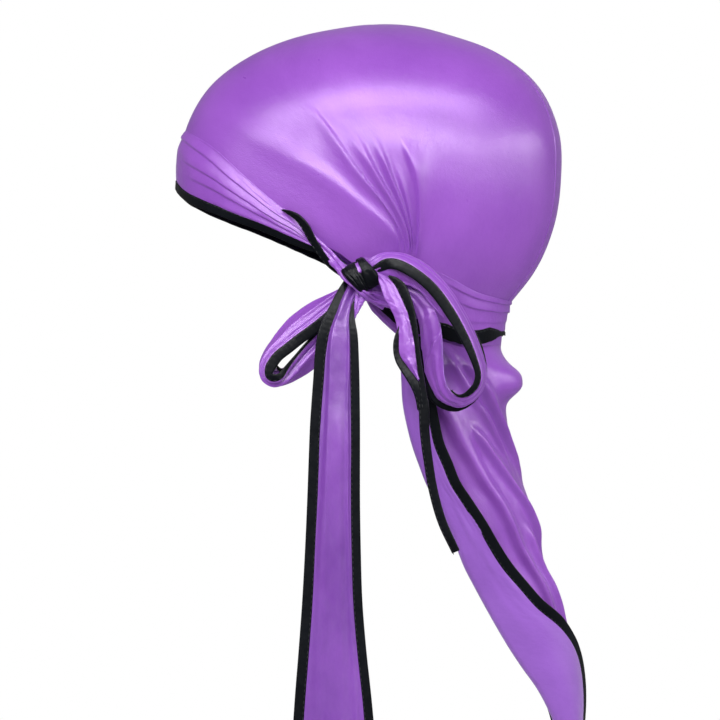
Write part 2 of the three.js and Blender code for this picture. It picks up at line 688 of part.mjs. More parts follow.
const frontLoopSteps = 22;
const rearLoopSteps = 32;
const frontLoopBound = { from: 0.12, to: 0.92, turned: 1 };
const rearLoopBound = { from: 0.02, to: 0.66, turned: rearLoopTurned };
addSatin("front_loop", loopWall(frontLoopPath, frontLoopLength, frontLoopSteps));
const frontLoopBinding = loopBinding(frontLoopPath, frontLoopLength, frontLoopBound, 20);
addBinding("front_loop_binding", frontLoopBinding);
addSatin("rear_loop", loopWall(rearLoopPath, rearLoopLength, rearLoopSteps));
const rearLoopBinding = loopBinding(rearLoopPath, rearLoopLength, rearLoopBound, 22);
addBinding("rear_loop_binding", rearLoopBinding);

// Long tie end: a hanging ribbon with soft lengthwise waves, bound on both edges and across its end

const tieSteps = 16;

function longTiePoint(down, across, lift) {
  const column = (name) => readEven(longTieEdges, name, down);
  const inset = (bindingWidth + seatGap) / longTieWidth;
  const narrow = Math.min(1, (column("back") - column("front")) / (4 * inset));
  const front = column("front") + inset * narrow;
  const back = column("back") - inset * narrow;
  const wave = tieWaves.reduce((sum, w) => sum + w.height * bump(across, w.at, w.width), 0);
  const swell = smooth(0.05, 0.3, down);
  return fromKnot(
    longTieWidth * (column("out") + wave * swell) + lift,
    longTieWidth * mix(front, back, across),
    -longTieLength * column("down"),
  );
}

const tieColumns = 8;
addSatin(
  "long_tie",
  wall(tieSteps, tieColumns, (i, j, side) => longTiePoint(i / tieSteps, j / tieColumns, side * clothWall)),
);

function longTieBinding(edge, sign) {
  const stations = [];
  for (let i = 0; i <= tieSteps; i += 1) {
    const down = i / tieSteps;
    const edgeAt = (share) => longTiePoint(share, edge, clothWall / 2);
    const heading = headingOf(edgeAt, down);
    const across = vec(1, 0, 0).cross(heading).normalize();
    const out = heading.clone().cross(across).normalize();
    const width = bindingWidth * mix(0.6, 1, smooth(0, 0.25, down));
    const point = edgeAt(down).addScaledVector(across, sign * (width / 2 + seatGap));
    stations.push({ point, across, out, width });
  }
  return strip(stations, bindingThick);
}

addBinding("long_tie_front_binding", longTieBinding(0, -1));
addBinding("long_tie_back_binding", longTieBinding(1, 1));

const endDrop = bindingWidth / 2 + seatGap;
const endSteps = 8;
const endStations = Array.from({ length: endSteps + 1 }, (_, i) => ({
  point: longTiePoint(1, i / endSteps, clothWall / 2).add(vec(0, 0, -endDrop)),
  across: vec(0, 0, 1),
  out: vec(1, 0, 0),
  width: bindingWidth,
}));
addBinding("long_tie_end_binding", strip(endStations, bindingThick));

// Short tie end: satin down to where the strap closes on itself, then its two bindings run together as a
// cord

const shortSteps = 12;
const shortCentre = (at) =>
  fromKnot(
    shortTieLength * readEven(shortTiePath, "out", at),
    shortTieLength * readEven(shortTiePath, "back", at),
    -shortTieLength * readEven(shortTiePath, "down", at),
  );
const acrossTie = (curve, at) => vec(1, 0, 0).cross(headingOf(curve, at)).normalize();
addSatin(
  "short_tie",
  wall(shortSteps, 2, (i, j, side) => {
    const at = i / shortSteps;
    const width = shortTieWidth * readEven(shortTiePath, "width", at);
    const swell = (1 - Math.abs(j - 1)) * clothWall;
    const point = shortCentre(at).addScaledVector(acrossTie(shortCentre, at), (j / 2 - 0.5) * width);
    return point.add(vec(swell + (side - 0.5) * clothWall, 0, 0));
  }),
);

const shortTailOut = shortTiePath[shortTiePath.length - 1].out;
const shortTail = (at) =>
  fromKnot(
    shortTieLength * shortTailOut * mix(1, 0.6, at),
    shortTieLength * readEven(shortTieTail, "back", at),
    -shortTieLength * readEven(shortTieTail, "down", at),
  );

const shortBindingShare = 0.55;

function shortTieEdge(sign) {
  const stations = [];
  for (let i = 1; i <= shortSteps; i += 1) {
    const at = i / shortSteps;
    const across = acrossTie(shortCentre, at);
    const half = (shortTieWidth * readEven(shortTiePath, "width", at)) / 2;
    const width = bindingWidth * shortBindingShare;
    const point = shortCentre(at).addScaledVector(across, sign * (half + seatGap + width / 2));
    stations.push({ point, across, out: vec(1, 0, 0), width });
  }
  return strip(stations, bindingThick);
}

addBinding("short_tie_front_binding", shortTieEdge(1));
addBinding("short_tie_back_binding", shortTieEdge(-1));

const tailSteps = 10;
const tailStations = Array.from({ length: tailSteps + 1 }, (_, i) => {
  const at = i / tailSteps;
  const across = acrossTie(shortTail, at);
  const out = headingOf(shortTail, at).cross(across).normalize();
  return { point: shortTail(at), across, out, width: bindingWidth };
});
addBinding("short_tie_tail", strip(tailStations, bindingThick));

// Cape: a sheet bent round the back of the neck, whose near edge turns back on itself and carries the
// binding

const capeOrigin = onHead(capeNearTurn, capeTopNear, 0);
const capeTopRows = 6;
const capeLowRows = 15;
const capeTopEnd = 0.11;
const capeRows = capeTopRows + capeLowRows;
const capeTurn = 3;
const capeFlap = 3;

// Rows lie close together where the cape passes from under the nape band
function capeLevel(row) {
  if (row <= capeTopRows) return (capeTopEnd * row) / capeTopRows;
  return mix(capeTopEnd, 1, (row - capeTopRows) / capeLowRows);
}

// A row's point in plan, before its place down the back. Place runs from the far edge (0) round the back
// to the near fold (1), round the turn (2) and back over the flap to the bound edge (3). Spread pushes
// it outwards.
function capePlan(level, place, spread) {
  const column = (name) => read(capeSections, "level", name, level);
  const fold = capeReach * column("fold") + capeTurnRadius;
  const back = capeReach * column("back");
  const half = capeHalfWidth * column("half");
  const depth = Math.max(capeTurnRadius, back - fold);
  const round = (angle, more) => {
    const x = Math.sign(Math.cos(angle)) * Math.abs(Math.cos(angle)) ** capeSquareness;
    return [x * (half + more), fold + Math.abs(Math.sin(angle)) ** capeSquareness * (depth + more)];
  };
  if (place <= 1) return round(Math.PI * mix(1 - capeFarStop, 0, place), spread);
  const turned = 2 * capeTurnRadius;
  if (place <= 2) {
    const angle = Math.PI * (place - 1);
    const radius = capeTurnRadius - spread;
    return [half + capeTurnRadius - radius * Math.cos(angle), fold - radius * Math.sin(angle)];
  }
  const end = Math.asin(Math.min(capeBindMost, column("bind")) ** (1 / capeSquareness));
  return round(end * (place - 2), turned - spread);
}

function capeRelief(level, place) {
  if (place > 1) return 0;
  const round = 1 - place;
  const folds = capeFolds.map((f) => {
    const run = Math.min(1, Math.max(0, (level - f.from) / (f.to - f.from)));
    const fade = smooth(f.from, f.from + 0.06, level) * (1 - smooth(f.to - 0.15, f.to, level));
    return capeFoldHeight * f.height * bump(round, mix(f.top, f.low, run), f.width) * fade;
  });
  const puff = puffHeight * bump(level, puffLevel, puffTall) * bump(round, puffPlace, puffWide);
  return Math.max(...folds, 0) + puff;
}

// Polar angle of the cape's top edge: tucked under the nape band at the back, and just below it at its
// two sides
function capeTopPolar(turn) {
  const hem = read(crownHem, "turn", "polar", turn > 180 ? 360 - turn : turn) + 0.45;
  const beside = Math.abs(180 - turn) / (180 - capeNearTurn);
  return mix(hem, capeTopNear, smooth(0.45, 0.85, beside));
}

// A point of the cape: flat on the head form while it passes under the nape band, then falling free
function capePoint(level, place, spread) {
  const [x, y] = capePlan(level, place, spread + capeRelief(level, place));
  const fallen = capeOrigin.clone().add(vec(0, y, -capeLength * level));
  fallen.x = x;
  const free = smooth(capeTuck, capeClear, level);
  if (place > 1 || free === 1) return fallen;
  const turn = mix(360 - capeNearTurn, capeNearTurn, place);
  const top = capeTopPolar(turn);
  const clear = Math.max(top + 1, read(napeBandEdges, "turn", "low", turn) + capeClearance);
  const polar = mix(top, clear, Math.min(1, level / capeTuck));
  return onHead(turn, polar, spread + clothWall / 2).lerp(fallen, free);
}

// Columns lie closest together on the near side, where most of the folds are
const capePlaces = [];
const capeFarColumns = 6;
const capeNearColumns = 10;
for (let j = 0; j < capeFarColumns; j += 1) capePlaces.push((0.45 * j) / capeFarColumns);
for (let j = 0; j <= capeNearColumns; j += 1) capePlaces.push(mix(0.45, 1, j / capeNearColumns));
for (let j = 1; j <= capeTurn; j += 1) capePlaces.push(1 + j / capeTurn);
for (let j = 1; j <= capeFlap; j += 1) capePlaces.push(2 + j / capeFlap);
addSatin(
  "cape",
  wall(capeRows, capePlaces.length - 1, (i, j, side) =>
    capePoint(capeLevel(i), capePlaces[j], (side - 0.5) * clothWall),
  ),
);

// Binding beside the cape's cloth edge at a place, from one level to another
function capeBinding(place, inward, from, to, steps) {
  const stations = [];
  for (let i = 0; i <= steps; i += 1) {
    const level = mix(from, to, i / steps);
    const edge = capePoint(level, place, 0);
    const beside = capePoint(level, inward, 0);
    const heading = headingOf((share) => capePoint(share, place, 0), level, 0.01);
    const away = edge.clone().sub(beside);
    const across = away.addScaledVector(heading, -away.dot(heading)).normalize();
    const out = heading.clone().cross(across).normalize();
    stations.push({
      point: edge.addScaledVector(across, bindingWidth / 2 + seatGap),
      across,
      out,
      width: bindingWidth,
    });
  }
  return strip(stations, bindingThick);
}

const capeBindingTop = 0.02;
const capeBindingLow = 0.985;
addBinding("cape_binding", capeBinding(3, 2.8, capeBindingTop, capeBindingLow, 25));
addBinding("cape_far_binding", capeBinding(0, 0.02, capeClear, capeBindingLow, 22));

export default part;
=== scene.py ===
"""A satin durag, tied for wearing, dressed over its solids.

Lengths in the tables and shape functions are millimetres in the part's own frame: +Z up, -Y the wearer's
front, +X the wearer's left, where the bow is. Meshes are made in metres. Angles are degrees: turn runs
round the head from the front (0) through the wearer's left (90) to the back (180), and polar runs down
from straight up (0).
"""
import math

import bpy
import numpy as np
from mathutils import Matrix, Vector


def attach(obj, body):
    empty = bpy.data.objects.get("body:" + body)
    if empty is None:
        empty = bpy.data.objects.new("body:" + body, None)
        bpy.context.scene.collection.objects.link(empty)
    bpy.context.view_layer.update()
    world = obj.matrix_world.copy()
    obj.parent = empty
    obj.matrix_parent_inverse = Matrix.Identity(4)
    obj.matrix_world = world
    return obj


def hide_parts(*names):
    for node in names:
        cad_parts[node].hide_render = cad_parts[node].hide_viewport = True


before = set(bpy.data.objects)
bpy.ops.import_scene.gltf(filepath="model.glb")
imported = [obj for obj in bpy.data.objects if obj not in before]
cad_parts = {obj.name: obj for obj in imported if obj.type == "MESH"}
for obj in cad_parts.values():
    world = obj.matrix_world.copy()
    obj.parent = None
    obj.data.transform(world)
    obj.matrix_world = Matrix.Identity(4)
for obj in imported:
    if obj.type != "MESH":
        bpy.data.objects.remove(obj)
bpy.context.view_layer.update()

# Cloth and binding
cloth_wall = 1.2
cloth_thick = 0.6
ribbon_thick = 0.5
seat_gap = 0.55
binding_width = 5.6
binding_thick = 1.9
temple_tape_width = 4.8

# Head form that the crown is stretched over, and the straps drawn round it
head_top = 79.4
head_front = 98.8
head_back = 97.1
head_side = 74.8
temple_taper = 0.03
brow_band_thick = 1.5
brow_pleat_height = 1.6
nape_band_thick = 1.3
nape_pleat_height = 0.9
gather_height = 3.6

# Knot, bow, tie ends and cape
knot_radius = 8.2
knot_flatness = 0.8
knot_tilt = 31
front_loop_length = 75
rear_loop_length = 87
long_tie_length = 247
long_tie_width = 30
cape_length = 233
cape_reach = 90
cape_half_width = 62
cape_fold_height = 3.6
cape_turn_radius = 2.8
puff_height = 10.8


def table(columns, *rows):
    """Columns of numbers by name, with a row for each section, fold or station."""
    return dict(zip(columns.split(), np.array(rows, float).T))


head_profile = table(
    "polar front side back",
    (0, 1, 1, 1),
    (15, 0.99, 1, 1.013),
    (30, 1, 1.012, 1.02),
    (45, 1.018, 1.023, 1.053),
    (60, 1.035, 1.025, 1.068),
    (75, 1.021, 1.013, 1.038),
    (90, 1, 1, 1),
    (105, 1.02, 1.009, 1.01),
    (120, 1.05, 1.05, 1.047),
    (130, 1.08, 1.11, 1.075),
    (135, 1.1, 1.15, 1.11),
    (140, 1.13, 1.2, 1.22),
    (150, 1.2, 1.31, 1.5),
)
crown_hem = table(
    "turn polar",
    (0, 90.5),
    (30, 98.5),
    (45, 105.5),
    (60, 112.5),
    (75, 119),
    (86, 126),
    (96, 130),
    (110, 132.5),
    (135, 133.5),
    (180, 132.5),
)
# Folds of the crown. High, middle and low are the cloth turns that each passes on its way down, before and
# behind how far it slopes away to the front and to the back, and height its share of the gather height.
crown_folds = table(
    "high middle low before behind height start",
    (21, 25, 42, 9, 3.4, 0.7, 0.66),
    (40.5, 40, 62, 4.6, 3, 0.65, 0.55),
    (64.5, 61.5, 79, 8, 3.4, 1.1, 0.585),
    (78, 77, 87, 4, 3, 0.95, 0.58),
    (86, 88, 94, 3, 4, 0.45, 0.64),
    (98, 105.5, 109, 2.4, 11, 1.2, 0.575),
)
brow_band_edges = table(
    "turn top low",
    (-166, 133, 140),
    (-150, 129, 139),
    (-120, 123, 135),
    (-95, 117.5, 131.5),
    (-75, 110, 123),
    (-60, 102, 116.3),
    (-45, 91.6, 109.2),
    (-30, 82.6, 102.9),
    (-15, 77, 97.4),
    (0, 75.5, 93.1),
    (15, 77, 97.4),
    (30, 82.6, 102.9),
    (45, 91.6, 109.2),
    (60, 102.5, 116.3),
    (75, 115.6, 122.6),
    (85, 121.5, 129.8),
)
# Pleats of a strap. Front and knot say where each lies across the strap, from its lower edge (0) to its
# upper one (1), below and above how far it slopes away, and enter and leave the turns between which it shows.
brow_pleats = table(
    "front knot below above height enter leave",
    (0.14, 0.1, 0.05, 0.1, 0.3, 22, 90),
    (0.33, 0.3, 0.03, 0.14, 0.55, 12, 68),
    (0.55, 0.45, 0.026, 0.13, 0.62, 8, 90),
    (0.88, 0.62, 0.024, 0.12, 0.6, -10, 90),
    (0.95, 0.85, 0.03, 0.1, 0.3, 34, 60),
)
nape_band_edges = table(
    "turn top low",
    (85.9, 121.5, 132.3),
    (95, 121, 138.3),
    (105, 121.5, 142.3),
    (120, 125.5, 142.8),
    (139, 130, 143.4),
    (158, 131, 141.3),
    (180, 131, 140.6),
    (202, 131, 141.3),
    (221, 129, 143),
    (240, 125, 142.5),
    (255, 121.5, 139),
)
nape_pleats = table(
    "front knot below above height enter leave",
    (0.3, 0.3, 0.05, 0.16, 0.5, 80, 190),
    (0.52, 0.62, 0.03, 0.14, 0.85, 126, 300),
    (0.8, 0.88, 0.03, 0.12, 0.9, 118, 300),
)
# Temple binding, by its place behind and above the knot, which is found again on the strap
temple_binding_path = table(
    "back up width",
    (-40, 33.3, 0.6),
    (-36.6, 31.8, 2.4),
    (-32.2, 29, 3.8),
    (-28.6, 24.8, 4.6),
    (-25.7, 19.5, 4.8),
    (-22.4, 14, 4.5),
    (-18.7, 8.8, 4.1),
    (-15, 4.8, 3.8),
    (-11, 1.6, 3.4),
    (-7, -1, 2.8),
)
# Strip of the strap that comes out from under the temple binding and passes below the knot
knot_strip_path = table(
    "high_back high_up low_back low_up out free",
    (-27, 23, -29, 20, -6, 0),
    (-22, 18.8, -24.5, 14.8, -5, 0),
    (-14.5, 11.8, -18, 7.2, -3.5, 0.2),
    (-10.5, 7.3, -14, 3.6, -1.5, 0.8),
    (-7.6, 3.6, -12, 0.9, 0.6, 1),
    (-4.6, -1.6, -9.6, -2.4, 2.6, 1),
    (-0.2, -6.2, -5.6, -5.6, 3.2, 1),
    (4.2, -9.6, -1.2, -9.6, 2, 1),
    (8, -12, 4, -13.4, -2.5, 1),
    (13, -15, 10, -17, -7, 1),
)
# Fold of satin between the tie end and the knot, and the roll of satin at its foot
knot_tuck_path = table(
    "high_back high_up low_back low_up out free",
    (-5, -1, -6, -9, -4, 1),
    (0, -4, -3.4, -12.5, -1.5, 1),
    (4, -7, 0.6, -12.4, -0.6, 1),
    (8, -8, 5.5, -13.5, -2.5, 1),
    (13, -8.5, 11, -15.5, -5, 1),
    (18, -9, 17, -17, -7, 1),
)
tie_root_path = table(
    "high_back high_up low_back low_up out free",
    (-3, -5.5, 2.6, -8.6, -1, 1),
    (-3.6, -11, 1.2, -13, 0.6, 1),
    (-4, -16, -1, -17, 1.4, 1),
    (-4, -21.5, -3.4, -21.5, 2, 1),
)
front_loop_path = table(
    "near_y near_z far_y far_z near_x far_x",
    (-0.08, -0.069, -0.08, -0.043, -0.04, -0.08),
    (-0.16, -0.149, -0.191, -0.105, -0.05, -0.12),
    (-0.261, -0.249, -0.335, -0.172, -0.06, -0.17),
    (-0.365, -0.332, -0.44, -0.24, -0.07, -0.2),
    (-0.447, -0.391, -0.513, -0.303, -0.08, -0.2),
    (-0.52, -0.449, -0.587, -0.396, -0.08, -0.2),
    (-0.595, -0.509, -0.643, -0.476, -0.08, -0.19),
    (-0.647, -0.583, -0.685, -0.563, -0.08, -0.18),
    (-0.661, -0.643, -0.693, -0.638, -0.08, -0.18),
    (-0.647, -0.689, -0.668, -0.697, -0.08, -0.18),
    (-0.607, -0.715, -0.618, -0.74, -0.08, -0.18),
    (-0.557, -0.71, -0.547, -0.742, -0.08, -0.18),
    (-0.517, -0.679, -0.467, -0.712, -0.085, -0.18),
    (-0.488, -0.63, -0.393, -0.672, -0.09, -0.19),
    (-0.453, -0.578, -0.333, -0.632, -0.09, -0.19),
    (-0.41, -0.523, -0.273, -0.585, -0.1, -0.2),
    (-0.358, -0.463, -0.213, -0.52, -0.11, -0.2),
    (-0.293, -0.396, -0.173, -0.43, -0.12, -0.2),
    (-0.227, -0.323, -0.14, -0.323, -0.13, -0.18),
)
# Inside of the front loop: the far part of its ribbon, with its own binding along the opening
front_loop_inner_path = table(
    "high_back high_up low_back low_up out free",
    (-45, -46, -46.5, -50, -10, 1),
    (-41, -46.6, -41.5, -51, -10.5, 1),
    (-36.5, -44.4, -35.5, -48.6, -11, 1),
    (-32, -39.6, -29.5, -42.6, -11.5, 1),
    (-27, -33.6, -23.5, -35.6, -11.5, 1),
    (-20, -26, -17.5, -28, -11, 1),
)
front_loop_inner_edge = table(
    "back down width out",
    (-43, 45.2, 1, -9.4),
    (-41.2, 47.2, 1.8, -9.4),
    (-38.4, 47.2, 1.9, -9.6),
    (-35.6, 45, 1.9, -10),
    (-32.8, 41.8, 1.9, -10.4),
    (-30.2, 38, 1.8, -10.6),
    (-27.2, 34, 1.8, -10.6),
    (-22, 28.6, 1.6, -10.6),
)
rear_loop_path = table(
    "near_y near_z far_y far_z near_x far_x",
    (0.02, 0.01, 0.015, 0.06, 0, -0.05),
    (0.065, 0.063, 0.055, 0.105, 0.03, -0.03),
    (0.14, 0.104, 0.14, 0.134, 0.05, -0.05),
    (0.23, 0.092, 0.24, 0.13, 0.07, -0.07),
    (0.35, 0.022, 0.355, 0.08, 0.08, -0.09),
    (0.452, -0.074, 0.463, -0.017, 0.08, -0.1),
    (0.543, -0.206, 0.566, -0.154, 0.08, -0.11),
    (0.618, -0.349, 0.65, -0.322, 0.08, -0.11),
    (0.667, -0.475, 0.7, -0.456, 0.08, -0.11),
    (0.69, -0.572, 0.716, -0.558, 0.075, -0.11),
    (0.67, -0.648, 0.697, -0.652, 0.07, -0.1),
    (0.615, -0.7, 0.638, -0.726, 0.06, -0.09),
    (0.55, -0.705, 0.552, -0.762, 0.05, -0.07),
    (0.495, -0.655, 0.455, -0.725, 0.04, -0.06),
    (0.47, -0.58, 0.405, -0.655, 0.025, -0.055),
    (0.463, -0.48, 0.366, -0.555, 0.02, -0.055),
    (0.456, -0.36, 0.345, -0.425, 0.02, -0.05),
    (0.437, -0.25, 0.33, -0.28, 0.02, -0.045),
    (0.397, -0.165, 0.295, -0.175, 0.01, -0.045),
    (0.32, -0.095, 0.225, -0.09, 0, -0.045),
    (0.21, -0.035, 0.13, -0.02, -0.01, -0.045),
)
# Binding of the rear loop's far edge, which shows outside the satin from the side
rear_loop_far_edge = table(
    "back down width out",
    (47.5, 20, 5.2, -10.4),
    (56.2, 31.8, 5.4, -10.6),
    (59.9, 44.2, 5.5, -10.6),
    (59.4, 52.4, 5.6, -10.4),
    (55.6, 60.5, 5.6, -9.8),
    (49.4, 64.9, 5.6, -9),
    (44.3, 65.3, 5.6, -8.2),
    (39.5, 63.2, 5.6, -7.4),
    (36.1, 59.9, 5.4, -6.8),
    (35, 54.9, 5.2, -6.4),
    (34.6, 48, 5, -6.2),
)
# Inner face of the rear loop, seen under its binding beside the knot
rear_loop_inner_path = table(
    "high_back high_up low_back low_up out free",
    (5, 4, 5, -1, 1, 1),
    (10, 6.6, 9, -0.8, 2.6, 1),
    (16, 7.4, 15.5, -3, 3.2, 1),
    (23, 5.2, 24, -5.4, 3.2, 1),
    (30, -1.5, 29.5, -8.6, 3, 1),
    (36, -9, 34.5, -15, 2.6, 1),
    (42, -18, 41, -22, 2.4, 1),
)
# Long tie end, by its two outer edges from the knot down, in millimetres
long_tie_edges = table(
    "front front_down back back_down out",
    (-7.5, 0, 1.5, 6.6, -3),
    (-10.4, 4.4, -1.2, 9.4, -2.4),
    (-13.2, 9.1, -3.5, 13.2, -0.8),
    (-16.4, 15.7, -3.9, 18.4, 1),
    (-19.5, 21.9, -3.3, 23.9, 2.4),
    (-22.1, 29.1, -2.2, 30, 3.2),
    (-23.5, 37.9, -1.7, 38.2, 3.3),
    (-24.4, 51.2, -1.3, 51.2, 3.2),
    (-25.3, 63.4, -1.1, 63.4, 3),
    (-26.1, 75.7, -1, 75.7, 2.8),
    (-26.8, 94, -1, 94, 2.5),
    (-27.5, 113.2, -1, 113.2, 2.1),
    (-28.6, 138, -0.6, 138, 1.6),
    (-30, 163.2, 0.2, 163.2, 1),
    (-31.8, 188, 2.2, 188, 0.8),
    (-33.8, 213.2, 4.9, 213.2, 0.6),
    (-36, long_tie_length, 8, long_tie_length, 0.6),
)
# Lengthwise folds of the long tie end, across it from the front (0) to the back (1), in millimetres
tie_folds = table(
    "at before behind height from to",
    (0.34, 0.09, 0.3, 2.6, 0, 0.75),
    (0.82, 0.06, 0.04, 1.3, 0, 1.1),
    (0.28, 0.2, 0.12, 1.8, 0.6, 1.2),
    (0.62, 0.22, 0.12, 2.2, 0.5, 1.2),
)
# Short tie end: the satin leaf's two edges, by height below the knot
short_tie_leaf = table(
    "left right down out",
    (6, 7, -2, 3.2),
    (8.6, 12, 1, 4.6),
    (10, 17, 5.4, 6.4),
    (11.8, 20.1, 11.2, 7.8),
    (14.6, 22, 16, 8.6),
    (16.9, 23.8, 21.2, 9),
    (18.3, 25.4, 28.2, 9.4),
    (18.6, 26.7, 36, 9.6),
    (19.4, 27.3, 40.4, 9.6),
    (22.6, 27.9, 44.6, 9.6),
    (25.6, 28.3, 48.4, 9.6),
    (28.2, 28.7, 52, 9.6),
)
short_tie_right = table(
    "back down width out",
    (13.4, 0.4, 1, 5),
    (16.4, 2.4, 3.2, 6.2),
    (19.6, 5.9, 4.8, 7.4),
    (22.3, 12.2, 4.7, 8.4),
    (24.4, 18.4, 4.1, 9),
    (26, 25.7, 3.1, 9.4),
    (27.1, 33.2, 2.5, 9.7),
    (28, 40.7, 2.5, 9.8),
    (28.9, 47.2, 2.8, 9.9),
    (29.8, 53.2, 3, 9.9),
    (30.6, 59, 3.2, 9.9),
    (31.3, 65, 3.4, 9.7),
)
short_tie_left = table(
    "back down width out",
    (18.2, 26, 0.5, 8.6),
    (17.4, 30, 2, 9),
    (16.9, 34, 2.8, 9.2),
    (17, 38.4, 2.9, 9.3),
    (18.3, 42.6, 3.5, 9.4),
    (20.9, 46.6, 4.3, 9.4),
    (24.1, 51, 4.9, 9.4),
    (27, 56, 5, 9.3),
    (28.8, 61, 4.8, 9.1),
    (29.6, 67, 4.2, 8.9),
)
short_tie_tail = table(
    "back down width out",
    (28.8, 54, 2.6, 9),
    (30, 60, 4.6, 9.4),
    (30.8, 66, 5.2, 9.6),
    (31.2, 78, 5, 9.4),
    (33, 93, 4.7, 8.8),
    (35.6, 108, 4.6, 8),
    (40, 123.2, 4.5, 7),
    (46.8, 138, 4.2, 6),
)
# Cape, as shares of its reach and half width, row by row down the back
cape_sections = table(
    "level fold bind back half",
    (0, 0, 0.07, 0.56, 1),
    (0.075, 0.005, 0.1, 0.575, 0.98),
    (0.12, 0.01, 0.14, 0.595, 0.965),
    (0.164, 0.017, 0.16, 0.609, 0.95),
    (0.209, 0.039, 0.165, 0.62, 0.925),
    (0.254, 0.069, 0.165, 0.632, 0.9),
    (0.298, 0.109, 0.18, 0.667, 0.87),
    (0.343, 0.155, 0.185, 0.707, 0.84),
    (0.388, 0.222, 0.21, 0.75, 0.81),
    (0.432, 0.274, 0.262, 0.775, 0.78),
    (0.477, 0.321, 0.32, 0.79, 0.745),
    (0.522, 0.367, 0.385, 0.826, 0.705),
    (0.566, 0.426, 0.46, 0.878, 0.665),
    (0.611, 0.489, 0.575, 0.915, 0.62),
    (0.655, 0.553, 0.79, 0.937, 0.57),
    (0.7, 0.622, 0.9, 0.968, 0.52),
    (0.745, 0.699, 0.95, 0.99, 0.47),
    (0.789, 0.78, 0.96, 1.002, 0.42),
    (0.834, 0.844, 0.96, 1.004, 0.37),
    (0.879, 0.892, 0.96, 0.998, 0.31),
    (0.94, 0.93, 0.96, 0.99, 0.22),
    (1, 0.95, 0.96, 0.985, 0.13),
)
# Folds of the cape. Top and low are where each starts and ends round the section, from the near fold (0)
# to the far edge (1), and start and stop are the levels between which it runs.
cape_folds = table(
    "top low start stop before behind height",
    (0.04, 0.36, 0.09, 0.72, 0.02, 0.045, 1.3),
    (0.1, 0.25, 0.035, 0.2, 0.015, 0.024, 0.8),
    (0.15, 0.54, 0.045, 0.36, 0.02, 0.04, 1.3),
    (0.2, 0.38, 0.14, 0.3, 0.014, 0.022, 0.7),
    (0.17, 0.54, 0.2, 0.56, 0.018, 0.034, 1.15),
    (0.33, 0.56, 0.42, 0.84, 0.022, 0.034, 0.9),
    (0.69, 0.6, 0.08, 0.8, 0.03, 0.035, 0.8),
    (0.82, 0.72, 0.07, 0.7, 0.03, 0.035, 0.7),
)


# Curves and smooth steps


def smooth(low, high, x):
    share = np.clip((x - low) / (high - low), 0, 1)
    return share * share * (3 - 2 * share)


def mix(a, b, share):
    return a + (b - a) * share


def bump(x, centre, width):
    return np.exp(-(((x - centre) / width) ** 2))


def fold(x, centre, before, behind):
    """A ridge that slopes away by its own width on each side."""
    return np.exp(-(((x - centre) / np.where(x < centre, before, behind)) ** 2))


def point(x, y, z):
    return np.stack(np.broadcast_arrays(x, y, z), -1).astype(float)


def unit(vectors):
    return vectors / np.maximum(1e-9, np.linalg.norm(vectors, axis=-1, keepdims=True))


def read(rows, key, column, x):
    """Value of a column where the key column has the value x, on a smooth curve through the rows."""
    keys, values = rows[key], rows[column]
    last = len(keys) - 1
    x = np.clip(np.asarray(x, float), keys[0], keys[-1])
    i = np.clip(np.searchsorted(keys, x) - 1, 0, last - 1)
    step = keys[i + 1] - keys[i]
    share = (x - keys[i]) / step

    def slope(a, b):
        return (values[b] - values[a]) / (keys[b] - keys[a]) * step

    leave = slope(np.maximum(0, i - 1), i + 1)
    arrive = slope(i, np.minimum(last, i + 2))
    s2, s3 = share**2, share**3
    return (
        (2 * s3 - 3 * s2 + 1) * values[i]
        + (s3 - 2 * s2 + share) * leave
        + (3 * s2 - 2 * s3) * values[i + 1]
        + (s3 - s2) * arrive
    )


def read_even(rows, column, share):
    """The same, where the rows are evenly spaced from 0 to 1."""
    places = np.linspace(0, 1, len(rows[column]))
    return read({"at": places, "value": rows[column]}, "at", "value", share)


def read_each(rows, share):
    """Every column of evenly spaced rows, in their order."""
    return [read_even(rows, column, share) for column in rows]


def unevenness(u, v, seed):
    """Smooth random unevenness between -1 and 1, the same on every run."""
    grid = np.random.default_rng(seed).uniform(-1, 1, (64, 64))
    u, v = np.broadcast_arrays(np.asarray(u, float), np.asarray(v, float))
    i, j = np.floor(u).astype(int), np.floor(v).astype(int)
    su, sv = smooth(0, 1, u - i), smooth(0, 1, v - j)
    near = mix(grid[i % 64, j % 64], grid[(i + 1) % 64, j % 64], su)
    far = mix(grid[i % 64, (j + 1) % 64], grid[(i + 1) % 64, (j + 1) % 64], su)
    return mix(near, far, sv)


# Head form


def head_radius(turn, polar):
    turn, polar = np.broadcast_arrays(np.asarray(turn, float), np.asarray(polar, float))
    forward, aside = np.cos(np.radians(turn)), np.sin(np.radians(turn))
    flat, tall = np.sin(np.radians(polar)), np.cos(np.radians(polar))

    def reach(length, side):
        return read(head_profile, "polar", side, polar) / np.hypot(flat / length, tall / head_top)

    ahead = np.where(forward > 0, reach(head_front, "front"), reach(head_back, "back"))
    radius = 1 / np.hypot(forward / ahead, aside / reach(head_side, "side"))
    taper = np.where(forward > 0, (np.sin(np.radians(2 * turn)) * flat) ** 2, 0)
    return radius * (1 - temple_taper * taper)


def head_direction(turn, polar):
    flat = np.sin(np.radians(polar))
    aside, forward = np.sin(np.radians(turn)), np.cos(np.radians(turn))
    return point(flat * aside, -flat * forward, np.cos(np.radians(polar)))


def on_head(turn, polar, lift):
    """A point of the head form, lifted off it by a height."""
    radius = head_radius(turn, polar) + lift
    return head_direction(turn, polar) * radius[..., None] - point(0, 0, head_top)


over_crown = cloth_wall + seat_gap
over_nape_band = over_crown + nape_band_thick + nape_pleat_height + seat_gap
over_brow_band = over_crown + brow_band_thick + brow_pleat_height + seat_gap
knot_centre = on_head(86.2, 123.4, over_brow_band + knot_radius * knot_flatness)


leftwards = point(1, 0, 0)


